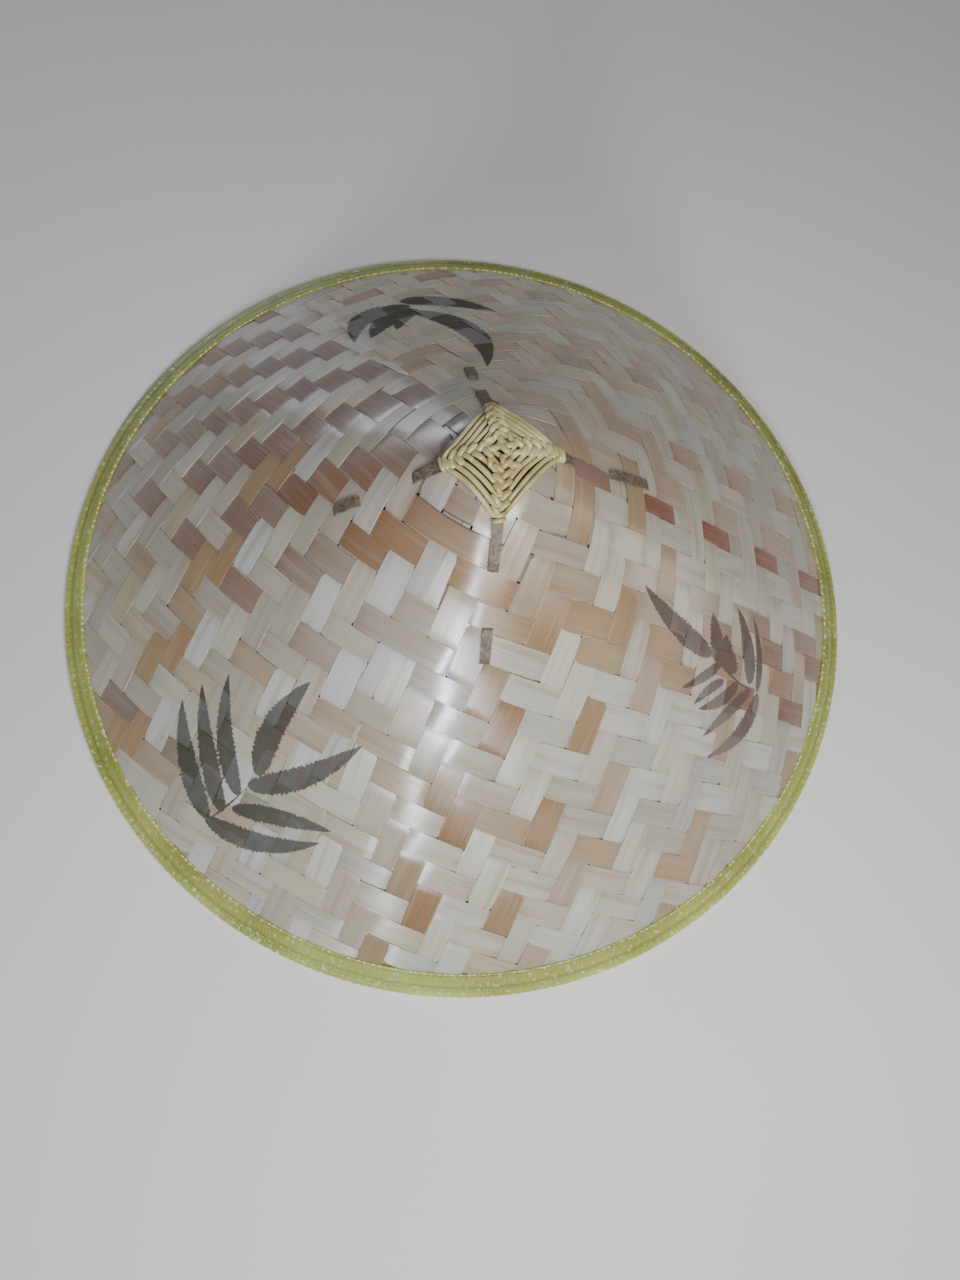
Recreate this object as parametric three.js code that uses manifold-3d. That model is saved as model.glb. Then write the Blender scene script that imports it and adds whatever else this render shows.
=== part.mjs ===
// A conical bamboo hat: a woven splint wall, a braid folded over its edge, and at the top two crossed
// slats lashed down by a four-cornered ornament of rattan. Millimetres, +Z up. The origin is on the
// surface that the hat rests on, at the centre of the rim.

import * as THREE from 'three';
import { mergeVertices } from 'three/addons/utils/BufferGeometryUtils.js';
import Module from 'manifold-3d';

// Driving dimensions of the cone
const RIM_RADIUS = 200;
const SLOPE = THREE.MathUtils.degToRad(39);
const WALL = 2;
const CROWN_RADIUS = 38;
const FIT_GAP = 0.3;
const ROUND_STEPS = 84;
const CROWN_STEPS = 7;
const WELD_DISTANCE = 1e-4;

// The edge braid: a round bead over the wall's edge, pressed flat below, and a flange on both faces
const BEAD_RADIUS = 3.2;
const BEAD_FLAT = 1.5;
const BEAD_STEPS = 5;
const BAND = { width: 13, flange: 1, groove: 0.7, lip: 0.5 };
const WALL_INSERT = 0.5;

// The slats under the ornament: their section, how they dive through the wall, how the upper one
// crosses the lower one, and where each arm passes through the wall, along its outer face
const SLAT = { width: 4.2, thickness: 1, outerGap: 0.35, innerGap: 0.45, bend: 20, step: 2.5 };
const DIVE = { run: 7, lead: 2.5, tail: 6 };
const CROSSOVER = { flat: 3, fall: 8 };
const CHANNEL_DEPTH = 3;
const NEARBY = 0.1;
const ARMS = {
  right: { azimuth: 24, dive: 34, rise: 58, tuck: 85 },
  far: { azimuth: 112.5, dive: 45.5, rise: 59.5, tuck: 73 },
  left: { azimuth: 200.7, dive: 37, rise: 63.5, tuck: 77 },
  near: { azimuth: 282.3, dive: 44.5, rise: 68, tuck: 83 },
};

// The rattan ornament: reach of its corners, inward bow of its sides, and heights above the wall
const ORNAMENT = { reach: 23.3, bow: 1.3, knot: 3, seat: 0.35, edge: 1.6, side: 2.7, corner: 3.5, top: 6 };
const KNOT_SPREAD = 9;
const FALL_POWER = 1.5;
const SIDE_SHARES = [0, 0.045, 0.085, 0.14, 0.25, 0.38, 0.5, 0.62, 0.75, 0.86, 0.915, 0.955];
const RING_SHARES = [0.2, 0.4, 0.6, 0.8, 0.94];

// Sizes that follow
const BEAD_CENTRE_R = RIM_RADIUS - BEAD_RADIUS;
const BEAD_CENTRE_Z = Math.sqrt(BEAD_RADIUS ** 2 - BEAD_FLAT ** 2);
const SHARP_APEX_Z = BEAD_CENTRE_Z + BEAD_CENTRE_R * Math.tan(SLOPE) + WALL / 2 / Math.cos(SLOPE);
const CROWN_CENTRE_Z = SHARP_APEX_Z - CROWN_RADIUS / Math.cos(SLOPE);
const CROWN_EDGE_R = CROWN_RADIUS * Math.sin(SLOPE);
const CROWN_ARC = CROWN_RADIUS * SLOPE;

const MATERIALS = {
  splint: new THREE.MeshStandardMaterial({ color: 0xb9a695, roughness: 0.45, metalness: 0 }),
  braid: new THREE.MeshStandardMaterial({ color: 0xa6ab55, roughness: 0.4, metalness: 0 }),
  slat: new THREE.MeshStandardMaterial({ color: 0x7d6a5c, roughness: 0.6, metalness: 0 }),
  rattan: new THREE.MeshStandardMaterial({ color: 0xc9b36f, roughness: 0.5, metalness: 0 }),
};

const wasm = await Module();
wasm.setup();

// Turns a closed geometry into a solid for joins and cuts
function toSolid(geometry) {
  const bare = new THREE.BufferGeometry();
  bare.setAttribute('position', geometry.getAttribute('position').clone());
  bare.setIndex(geometry.getIndex());
  const merged = mergeVertices(bare, WELD_DISTANCE);
  const index = merged.getIndex().array;
  const kept = [];
  for (let i = 0; i < index.length; i += 3) {
    const [a, b, c] = [index[i], index[i + 1], index[i + 2]];
    if (a !== b && b !== c && c !== a) kept.push(a, b, c);
  }
  return new wasm.Manifold(new wasm.Mesh({
    numProp: 3,
    vertProperties: new Float32Array(merged.getAttribute('position').array),
    triVerts: new Uint32Array(kept),
  }));
}

// Turns a solid back into a geometry
function toGeometry(solid) {
  const mesh = solid.getMesh();
  const geometry = new THREE.BufferGeometry();
  geometry.setAttribute('position', new THREE.BufferAttribute(mesh.vertProperties, 3));
  geometry.setIndex(new THREE.BufferAttribute(mesh.triVerts, 1));
  geometry.computeVertexNormals();
  return geometry;
}

// Turns a profile of [radius, height] pairs about Z
function turned(profile) {
  const points = profile.map(([radius, height]) => new THREE.Vector2(radius, height));
  return new THREE.LatheGeometry(points, ROUND_STEPS).rotateX(Math.PI / 2);
}

// Radius, height and steepness of the wall's outer face at a distance from the apex along the face
function faceAt(distance) {
  if (distance <= CROWN_ARC) {
    const tilt = distance / CROWN_RADIUS;
    return {
      radius: CROWN_RADIUS * Math.sin(tilt),
      height: CROWN_CENTRE_Z + CROWN_RADIUS * Math.cos(tilt),
      tilt,
    };
  }
  const radius = CROWN_EDGE_R + (distance - CROWN_ARC) * Math.cos(SLOPE);
  return { radius, height: SHARP_APEX_Z - radius * Math.tan(SLOPE), tilt: SLOPE };
}

// Distance along the outer face for a radius seen from above
function faceDistance(radius) {
  if (radius <= CROWN_EDGE_R) return CROWN_RADIUS * Math.asin(radius / CROWN_RADIUS);
  return CROWN_ARC + (radius - CROWN_EDGE_R) / Math.cos(SLOPE);
}

// The point that stands off the outer face by a lift, above a place seen from above
function liftedPoint(x, y, lift) {
  const radius = Math.hypot(x, y);
  const face = faceAt(faceDistance(radius));
  const stretch = radius > 0 ? (radius + lift * Math.sin(face.tilt)) / radius : 1;
  return new THREE.Vector3(x * stretch, y * stretch, face.height + lift * Math.cos(face.tilt));
}

// A place beside the bead's centre: along the slope outwards, and out of the face
function edgePoint(along, out) {
  return [
    BEAD_CENTRE_R + along * Math.cos(SLOPE) + out * Math.sin(SLOPE),
    BEAD_CENTRE_Z - along * Math.sin(SLOPE) + out * Math.cos(SLOPE),
  ];
}

// Points of the rounded crown, from the axis out to the cone
function crownPoints(lift) {
  const points = [];
  for (let i = 0; i <= CROWN_STEPS; i += 1) {
    const tilt = SLOPE * i / CROWN_STEPS;
    points.push([
      (CROWN_RADIUS + lift) * Math.sin(tilt),
      CROWN_CENTRE_Z + (CROWN_RADIUS + lift) * Math.cos(tilt),
    ]);
  }
  return points;
}

// The wall, before the slats' slots are cut
function wallGeometry() {
  const innerFace = crownPoints(-WALL);
  const outerFace = crownPoints(0).reverse();
  return turned([
    ...innerFace,
    edgePoint(WALL_INSERT, -WALL / 2),
    edgePoint(WALL_INSERT, WALL / 2),
    ...outerFace,
  ]);
}

// Points on the bead between two angles, counter-clockwise
function beadArc(from, to) {
  const points = [];
  for (let i = 0; i <= BEAD_STEPS; i += 1) {
    const angle = from + (to - from) * i / BEAD_STEPS;
    points.push([
      BEAD_CENTRE_R + BEAD_RADIUS * Math.cos(angle),
      BEAD_CENTRE_Z + BEAD_RADIUS * Math.sin(angle),
    ]);
  }
  return points;
}

// The flange of the braid on one face of the wall, from its bead to its free edge
function flangePoints(side) {
  const inner = WALL / 2 + FIT_GAP;
  const outer = inner + BAND.flange;
  const freeEdge = BEAD_RADIUS - BAND.width;
  return [
    edgePoint(-BEAD_RADIUS, side * (inner + BAND.groove)),
    edgePoint(-BEAD_RADIUS - 2 * BAND.lip, side * outer),
    edgePoint(freeEdge + BAND.lip, side * outer),
    edgePoint(freeEdge, side * (outer - BAND.lip)),
    edgePoint(freeEdge, side * inner),
  ];
}

// The braid folded over the edge: a closed U round the wall with a flat underside
function bindingGeometry() {
  const inner = WALL / 2 + FIT_GAP;
  const shoulder = Math.acos((inner + BAND.groove) / BEAD_RADIUS);
  const upperEnd = Math.PI / 2 - SLOPE + shoulder;
  const lowerEnd = -Math.PI / 2 - SLOPE - shoulder;
  const flatHalf = Math.asin(BEAD_FLAT / BEAD_RADIUS);
  const slotEnd = WALL_INSERT + FIT_GAP;
  const profile = [
    edgePoint(slotEnd, inner),
    ...flangePoints(1).reverse(),
    ...beadArc(-Math.PI / 2 + flatHalf, upperEnd).reverse(),
    ...beadArc(lowerEnd, -Math.PI / 2 - flatHalf).reverse(),
    ...flangePoints(-1),
    edgePoint(slotEnd, -inner),
    edgePoint(slotEnd, inner),
  ];
  return turned(profile.reverse());
}

function smooth(from, to, value) {
  return THREE.MathUtils.smoothstep(value, from, to);
}

// How far an arm's middle stands off the outer face: outside, inside, outside and tucked inside again
function armLift(arm, distance) {
  const outside = SLAT.outerGap + SLAT.thickness / 2;
  const inside = -WALL - SLAT.innerGap - SLAT.thickness / 2;
  const down = smooth(arm.dive - DIVE.lead, arm.dive - DIVE.lead + DIVE.run, distance);
  const up = smooth(arm.rise + DIVE.lead - DIVE.run, arm.rise + DIVE.lead, distance);
  const tucked = smooth(arm.tuck - DIVE.lead, arm.tuck - DIVE.lead + DIVE.run, distance);
  return outside + (inside - outside) * (down - up + tucked);
}

// Where the middle of a slat lies, seen from above: straight arms, and an easy bend between them
function slatPlace(along, startArm, endArm) {
  const arm = along < 0 ? startArm : endArm;
  const heading = THREE.MathUtils.degToRad(arm.azimuth);
  if (Math.abs(along) >= SLAT.bend) {
    const radius = faceAt(Math.abs(along)).radius;
    return new THREE.Vector2(radius * Math.cos(heading), radius * Math.sin(heading));
  }
  const reach = faceAt(SLAT.bend).radius;
  const ends = [startArm, endArm].map(({ azimuth }) => {
    const angle = THREE.MathUtils.degToRad(azimuth);
    return new THREE.Vector2(reach * Math.cos(angle), reach * Math.sin(angle));
  });
  const bend = new THREE.QuadraticBezierCurve(ends[0], new THREE.Vector2(0, 0), ends[1]);
  return bend.getPoint((along + SLAT.bend) / (2 * SLAT.bend));
}

// A slat from one arm's tucked end to the other's. Room widens it all round, to cut its slots, and
// depth lengthens it downwards, to cut the channel that it lies in under the ornament.
function slatGeometry(startArm, endArm, liftAtCrossing, room = 0, depth = 0) {
  const start = -(startArm.tuck + DIVE.run + DIVE.tail) - room;
  const end = endArm.tuck + DIVE.run + DIVE.tail + room;
  const count = Math.round((end - start) / SLAT.step);
  const halfWidth = SLAT.width / 2 + room;
  const halfThickness = SLAT.thickness / 2 + room;
  const positions = [];
  for (let i = 0; i <= count; i += 1) {
    const along = start + (end - start) * i / count;
    const place = slatPlace(along, startArm, endArm);
    const ahead = slatPlace(along + NEARBY, startArm, endArm);
    const heading = ahead.sub(slatPlace(along - NEARBY, startArm, endArm));
    const across = new THREE.Vector2(-heading.y, heading.x).normalize().multiplyScalar(halfWidth);
    const fallen = smooth(CROSSOVER.flat, CROSSOVER.flat + CROSSOVER.fall, Math.abs(along));
    const rise = liftAtCrossing * (1 - fallen);
    const lift = armLift(along < 0 ? startArm : endArm, Math.abs(along)) + rise;
    const under = liftedPoint(place.x, place.y, lift - halfThickness - depth);
    const over = liftedPoint(place.x, place.y, lift + halfThickness);
    for (const [point, side] of [[under, 1], [over, 1], [over, -1], [under, -1]]) {
      positions.push(point.x + side * across.x, point.y + side * across.y, point.z);
    }
  }
  const faces = [2, 1, 0, 3, 2, 0];
  for (let i = 0; i < count; i += 1) {
    for (let j = 0; j < 4; j += 1) {
      const a = 4 * i + j;
      const b = 4 * i + (j + 1) % 4;
      faces.push(a, b, b + 4, a, b + 4, a + 4);
    }
  }
  const last = 4 * count;
  faces.push(last, last + 1, last + 2, last, last + 2, last + 3);
  return gridGeometry(positions, faces);
}

function gridGeometry(positions, faces) {
  const geometry = new THREE.BufferGeometry();
  geometry.setAttribute('position', new THREE.Float32BufferAttribute(positions, 3));
  geometry.setIndex(faces);
  geometry.computeVertexNormals();
  return geometry;
}

// Reach of the ornament's outline in a direction given by its side and the share of that side
function ornamentReach(corner, nextCorner, share) {
  const corners = [corner, nextCorner].map((azimuth) => {
    const angle = THREE.MathUtils.degToRad(azimuth);
    return new THREE.Vector2(Math.cos(angle), Math.sin(angle)).multiplyScalar(ORNAMENT.reach);
  });
  const turn = THREE.MathUtils.degToRad((nextCorner - corner) * share);
  const span = THREE.MathUtils.degToRad(nextCorner - corner);
  const chord = corners[0].distanceTo(corners[1]);
  const straight = ORNAMENT.reach ** 2 * Math.sin(span) / chord / Math.cos(turn - span / 2);
  const bowed = straight - ORNAMENT.bow * 4 * share * (1 - share);
  const fromCorner = Math.min(turn, span - turn);
  const knot = fromCorner > 0 ? ORNAMENT.knot / Math.sin(fromCorner) : ORNAMENT.reach;
  return Math.max(bowed, Math.min(knot, ORNAMENT.reach));
}

// The rattan lashing as one cushion on the crown, higher in the middle and at its corner knots
function ornamentGeometry() {
  const corners = Object.values(ARMS).map(({ azimuth }) => azimuth);
  const directions = [];
  corners.forEach((corner, i) => {
    const next = i + 1 < corners.length ? corners[i + 1] : corners[0] + 360;
    for (const share of SIDE_SHARES) {
      const azimuth = corner + (next - corner) * share;
      const fromCorner = Math.min(azimuth - corner, next - azimuth);
      const knot = Math.exp(-((fromCorner / KNOT_SPREAD) ** 2));
      directions.push({
        angle: THREE.MathUtils.degToRad(azimuth),
        reach: ornamentReach(corner, next, share),
        side: THREE.MathUtils.lerp(ORNAMENT.side, ORNAMENT.corner, knot),
      });
    }
  });
  const positions = [];
  const addRing = (share, liftOf) => {
    for (const direction of directions) {
      const radius = share * direction.reach;
      const point = liftedPoint(
        radius * Math.cos(direction.angle),
        radius * Math.sin(direction.angle),
        liftOf(direction),
      );
      positions.push(point.x, point.y, point.z);
    }
  };
  const top = liftedPoint(0, 0, ORNAMENT.top);
  positions.push(top.x, top.y, top.z);
  for (const share of RING_SHARES) {
    addRing(share, ({ side }) => THREE.MathUtils.lerp(ORNAMENT.top, side, share ** FALL_POWER));
  }
  addRing(1, () => ORNAMENT.edge);
  for (const share of [...RING_SHARES].reverse()) addRing(share, () => ORNAMENT.seat);
  const seat = liftedPoint(0, 0, ORNAMENT.seat);
  positions.push(seat.x, seat.y, seat.z);

  const count = directions.length;
  const rings = 2 * RING_SHARES.length + 1;
  const faces = [];
  for (let j = 0; j < count; j += 1) {
    const k = (j + 1) % count;
    faces.push(0, 1 + j, 1 + k);
    for (let i = 0; i < rings - 1; i += 1) {
      const inner = 1 + i * count;
      const outer = inner + count;
      faces.push(inner + j, outer + j, outer + k, inner + j, outer + k, inner + k);
    }
    const lastRing = 1 + (rings - 1) * count;
    faces.push(lastRing + j, lastRing + count, lastRing + k);
  }
  return gridGeometry(positions, faces);
}

const crossing = SLAT.thickness + SLAT.outerGap;
const slats = {
  cross_slat_lower: { ends: [ARMS.left, ARMS.right], lift: 0 },
  cross_slat_upper: { ends: [ARMS.near, ARMS.far], lift: crossing },
};

let wall = toSolid(wallGeometry());
let ornament = toSolid(ornamentGeometry());
for (const { ends, lift } of Object.values(slats)) {
  wall = wall.subtract(toSolid(slatGeometry(ends[0], ends[1], lift, FIT_GAP)));
  ornament = ornament.subtract(toSolid(slatGeometry(ends[0], ends[1], lift, FIT_GAP, CHANNEL_DEPTH)));
}

function namedMesh(name, geometry, material) {
  const mesh = new THREE.Mesh(geometry, material);
  mesh.name = name;
  return mesh;
}

const hat = new THREE.Group();
hat.add(namedMesh('woven_shell', toGeometry(wall), MATERIALS.splint));
hat.add(namedMesh('rim_binding', toGeometry(toSolid(bindingGeometry())), MATERIALS.braid));
for (const [name, { ends, lift }] of Object.entries(slats)) {
  hat.add(namedMesh(name, slatGeometry(ends[0], ends[1], lift), MATERIALS.slat));
}
hat.add(namedMesh('apex_ornament', toGeometry(ornament), MATERIALS.rattan));

export default hat;
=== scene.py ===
"""Looks of a conical bamboo hat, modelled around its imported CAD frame.

Blender's units are metres, +Z is up, and the hat rests on its rim at Z = 0. The hat's own sizes are
stated in millimetres and turned into metres where a vertex is placed. Where two numbers are called a
range, an effect starts at the first and is full at the second.
"""

import logging
import math
import random
from collections.abc import Callable
from dataclasses import dataclass, field
from enum import Enum

import bmesh
import bpy
from mathutils import Matrix, Vector


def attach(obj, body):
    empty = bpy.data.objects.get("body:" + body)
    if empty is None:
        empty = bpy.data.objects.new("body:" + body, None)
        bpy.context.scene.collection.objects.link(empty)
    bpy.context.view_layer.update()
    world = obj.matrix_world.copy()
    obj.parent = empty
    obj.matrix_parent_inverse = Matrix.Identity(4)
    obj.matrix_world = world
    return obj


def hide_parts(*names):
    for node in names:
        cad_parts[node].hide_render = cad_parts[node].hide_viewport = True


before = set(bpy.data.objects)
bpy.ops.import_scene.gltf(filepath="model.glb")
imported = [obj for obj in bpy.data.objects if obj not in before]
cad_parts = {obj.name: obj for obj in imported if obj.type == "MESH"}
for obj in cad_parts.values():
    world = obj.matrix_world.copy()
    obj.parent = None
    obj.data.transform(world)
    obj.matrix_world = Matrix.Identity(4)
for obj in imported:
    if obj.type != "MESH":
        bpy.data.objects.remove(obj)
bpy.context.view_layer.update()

LOG = logging.getLogger("bamboo_hat")
MM = 0.001
ROOT = "root"
UV_NAME = "UVMap"
# The values of a noise node mostly lie between these two.
NOISE_LOW = 0.3
NOISE_HIGH = 0.7


class Face(Enum):
    """The two faces of a splint, and the material slot that each takes."""

    OUTER = 0
    INNER = 1


def linear(hex_colour: str) -> tuple[float, float, float, float]:
    """Turn an sRGB hex colour into a linear one.

    Args:
        hex_colour: Six hexadecimal digits after a hash.

    Returns:
        Linear red, green and blue, and an alpha of 1.
    """
    shares = [int(hex_colour[i : i + 2], 16) / 255 for i in (1, 3, 5)]
    red, green, blue = (s / 12.92 if s <= 0.04045 else ((s + 0.055) / 1.055) ** 2.4 for s in shares)
    return red, green, blue, 1.0


def smooth_step(start: float, end: float, value: float) -> float:
    """Ease from 0 to 1 between two values.

    Args:
        start: Where the step begins.
        end: Where it ends.
        value: Where it is read.

    Returns:
        A share from 0 to 1.
    """
    share = min(max((value - start) / (end - start), 0.0), 1.0)
    return share * share * (3 - 2 * share)


def mix(first: float, second: float, share: float) -> float:
    """Blend two numbers.

    Args:
        first: Value at a share of 0.
        second: Value at a share of 1.
        share: The blend.

    Returns:
        The blended number.
    """
    return first + (second - first) * share


@dataclass(frozen=True)
class ConeFace:
    """Outer face of the hat's wall: a cone with a rounded crown, in millimetres."""

    rim_radius: float = 200.0
    slope_deg: float = 39.0
    wall: float = 2.0
    crown_radius: float = 38.0
    bead_radius: float = 3.2
    bead_flat: float = 1.5

    @property
    def slope(self) -> float:
        """Steepness of the wall in radians."""
        return math.radians(self.slope_deg)

    @property
    def bead_centre(self) -> tuple[float, float]:
        """Radius and height of the middle of the rim's bead."""
        height = math.sqrt(self.bead_radius**2 - self.bead_flat**2)
        return self.rim_radius - self.bead_radius, height

    @property
    def sharp_apex(self) -> float:
        """Height where the straight outer face would meet the axis."""
        radius, height = self.bead_centre
        return height + radius * math.tan(self.slope) + self.wall / 2 / math.cos(self.slope)

    @property
    def crown_arc(self) -> float:
        """Distance along the face from the apex to the end of the rounding."""
        return self.crown_radius * self.slope

    @property
    def crown_edge(self) -> float:
        """Radius, seen from above, where the rounding ends."""
        return self.crown_radius * math.sin(self.slope)

    @property
    def rim_distance(self) -> float:
        """Distance along the face from the apex to the bead's middle."""
        return self.crown_arc + (self.bead_centre[0] - self.crown_edge) / math.cos(self.slope)

    def place(self, distance: float) -> tuple[float, float, float]:
        """Find a place on the face.

        Args:
            distance: Distance from the apex along the face.

        Returns:
            Radius, height and steepness there.
        """
        if distance <= self.crown_arc:
            tilt = distance / self.crown_radius
            top = self.sharp_apex - self.crown_radius / math.cos(self.slope)
            return self.crown_radius * math.sin(tilt), top + self.crown_radius * math.cos(tilt), tilt
        radius = self.crown_edge + (distance - self.crown_arc) * math.cos(self.slope)
        return radius, self.sharp_apex - radius * math.tan(self.slope), self.slope

    def distance_at(self, radius: float) -> float:
        """Find the distance along the face for a radius seen from above.

        Args:
            radius: Radius seen from above.

        Returns:
            Distance from the apex along the face.
        """
        if radius <= self.crown_edge:
            return self.crown_radius * math.asin(radius / self.crown_radius)
        return self.crown_arc + (radius - self.crown_edge) / math.cos(self.slope)

    def point(self, azimuth: float, distance: float, lift: float) -> Vector:
        """Place a point off the face.

        Args:
            azimuth: Direction from the axis, in radians.
            distance: Distance from the apex along the face.
            lift: Height off the face, along its normal.

        Returns:
            The point in metres.
        """
        radius, height, tilt = self.place(distance)
        reach = radius + lift * math.sin(tilt)
        rise = height + lift * math.cos(tilt)
        return Vector((reach * math.cos(azimuth), reach * math.sin(azimuth), rise)) * MM

    def plan_point(self, x: float, y: float, lift: float) -> Vector:
        """Place a point off the face above a spot seen from above.

        Args:
            x: Spot along X.
            y: Spot along Y.
            lift: Height off the face, along its normal.

        Returns:
            The point in metres.
        """
        return self.point(math.atan2(y, x), self.distance_at(math.hypot(x, y)), lift)

    def edge_point(self, along: float, out: float) -> tuple[float, float]:
        """Find a spot beside the bead's middle in the wall's section.

        Args:
            along: Distance down the slope from the bead's middle.
            out: Distance out of the wall's middle.

        Returns:
            Radius and height.
        """
        radius, height = self.bead_centre
        return (
            radius + along * math.cos(self.slope) + out * math.sin(self.slope),
            height - along * math.sin(self.slope) + out * math.cos(self.slope),
        )


def mapped_grid(
    bm: bmesh.types.BMesh,
    columns: int,
    rows: int,
    place: Callable[[float, float], Vector],
    uv_of: Callable[[float, float], tuple[float, float]] | None = None,
) -> list[bmesh.types.BMVert]:
    """Make a grid and bend it into a surface.

    Args:
        bm: Mesh that takes the grid.
        columns: Number of faces along the first direction.
        rows: Number of faces along the second direction.
        place: Gives a point for two shares from 0 to 1.
        uv_of: Gives the texture coordinates for the same shares.

    Returns:
        The grid's vertices.
    """
    layer = bm.loops.layers.uv.get(UV_NAME) or bm.loops.layers.uv.new(UV_NAME)
    made = bmesh.ops.create_grid(bm, x_segments=columns, y_segments=rows, size=0.5)["verts"]
    shares = {vert: (vert.co.x + 0.5, vert.co.y + 0.5) for vert in made}
    if uv_of is not None:
        for face in {face for vert in made for face in vert.link_faces}:
            for loop in face.loops:
                loop[layer].uv = uv_of(*shares[loop.vert])
    for vert, (first, second) in shares.items():
        vert.co = place(first, second)
    return made


def finished_piece(
    bm: bmesh.types.BMesh, name: str, materials: list[bpy.types.Material], slot: str, *nodes: str
) -> bpy.types.Object:
    """Turn a mesh into a smooth-shaded piece that rides on the hat.

    Args:
        bm: The finished mesh, which is freed.
        name: Name of the piece.
        materials: Materials for its slots.
        slot: The record's material slot; not used.
        nodes: CAD nodes that the piece replaces.

    Returns:
        The piece.
    """
    mesh = bpy.data.meshes.new(name)
    bm.to_mesh(mesh)
    bm.free()
    for polygon in mesh.polygons:
        polygon.use_smooth = True
    for material in materials:
        mesh.materials.append(material)
    piece = bpy.data.objects.new(name, mesh)
    bpy.context.scene.collection.objects.link(piece)
    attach(piece, ROOT)
    if nodes:
        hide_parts(*nodes)
    LOG.info("%s: %d faces", name, len(mesh.polygons))
    return piece


@dataclass(frozen=True)
class Sheaf:
    """One of the three sets of parallel splints, which cross a line from the apex squarely.

    Lengths are in millimetres on the flat mat, of which the hat has three quarters of a turn. Clockwise of
    the line the splints lean outwards and fan apart. Counter-clockwise of it the outer ones lean too, and
    the innermost ones are crowded outwards. The edges of a splint wander a little from the even pitch, by
    the unevenness of each and the waviness along it.
    """

    name: str
    line_deg: float
    pitch: float
    offset: float
    lean: float
    fan: float
    back_lean: float
    crowding: float
    phase: int
    first: int
    seed: int
    colours: dict[int, tuple[str, str]]
    rim_colours: dict[int, str] = field(default_factory=dict)
    count: int = 23
    kink: float = 12.0
    straight_from: float = 30.0
    unevenness: float = 0.45
    uneven_turn: float = 2.3
    waviness: float = 0.25
    wave_rate: float = 0.037
    wave_turn: float = 1.9
    crowded_splints: float = 2.5
    crowded_within: float = 25.0

    def eased(self, value: float) -> float:
        """Give a ramp that starts softly at zero.

        Args:
            value: Distance past the line.

        Returns:
            The ramp's height.
        """
        share = value / self.kink
        return value if share > self.straight_from else self.kink * math.log1p(math.exp(share))

    def line(self, index: int, along: float) -> float:
        """Find the line between two neighbouring splints.

        Args:
            index: Number of the splint on the line's outer side.
            along: Distance past the sheaf's own line, positive clockwise.

        Returns:
            Distance from the apex, measured along the sheaf's own line.
        """
        wobble = math.sin(index * self.uneven_turn + self.seed) * self.unevenness
        wobble += math.sin(along * self.wave_rate + index * self.wave_turn) * self.waviness
        near = math.exp(-((index / self.crowded_splints) ** 2))
        ahead = self.eased(along)
        behind = self.eased(-along)
        start = self.pitch * (index + self.offset) + wobble
        crowded = self.crowding * near * smooth_step(0, self.crowded_within, -along)
        leant = self.lean * ahead + self.back_lean * (1 - near) * behind
        return start * (1 + self.fan * ahead) + leant + crowded

    def splint_at(self, out: float, along: float) -> int:
        """Find which splint passes a spot.

        Args:
            out: Distance of the spot from the apex along the sheaf's own line.
            along: Distance of the spot past that line, positive clockwise.

        Returns:
            The splint's number.
        """
        index = math.floor((out - self.lean * self.eased(along)) / self.pitch)
        while self.line(index, along) > out:
            index -= 1
        while self.line(index + 1, along) <= out:
            index += 1
        return index


def add_node(
    tree: bpy.types.NodeTree, kind: str, inputs: dict[str | int, object] | None = None, **settings: object
) -> bpy.types.bpy_prop_collection:
    """Add a node, set its properties and fill or link its inputs.

    Args:
        tree: Tree that takes the node.
        kind: Blender's name of the node type.
        inputs: Input name or number to a value or an output socket.
        settings: Properties of the node.

    Returns:
        The node's outputs.
    """
    node = tree.nodes.new(kind)
    for name, value in settings.items():
        setattr(node, name, value)
    for key, value in (inputs or {}).items():
        if isinstance(value, bpy.types.NodeSocket):
            tree.links.new(value, node.inputs[key])
        else:
            node.inputs[key].default_value = value
    return node.outputs


def new_material(name: str) -> bpy.types.Material:
    """Start a material with an empty node tree.

    Args:
        name: Name of the material.

    Returns:
        The material.
    """
    material = bpy.data.materials.new(name)
    material.use_nodes = True
    material.node_tree.nodes.clear()
    return material


@dataclass(frozen=True)
class Blade:
    """One leaf of a stencilled spray, in millimetres seen from above."""

    base: tuple[float, float]
    tip: tuple[float, float]
    width: float
    bow: float


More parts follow.
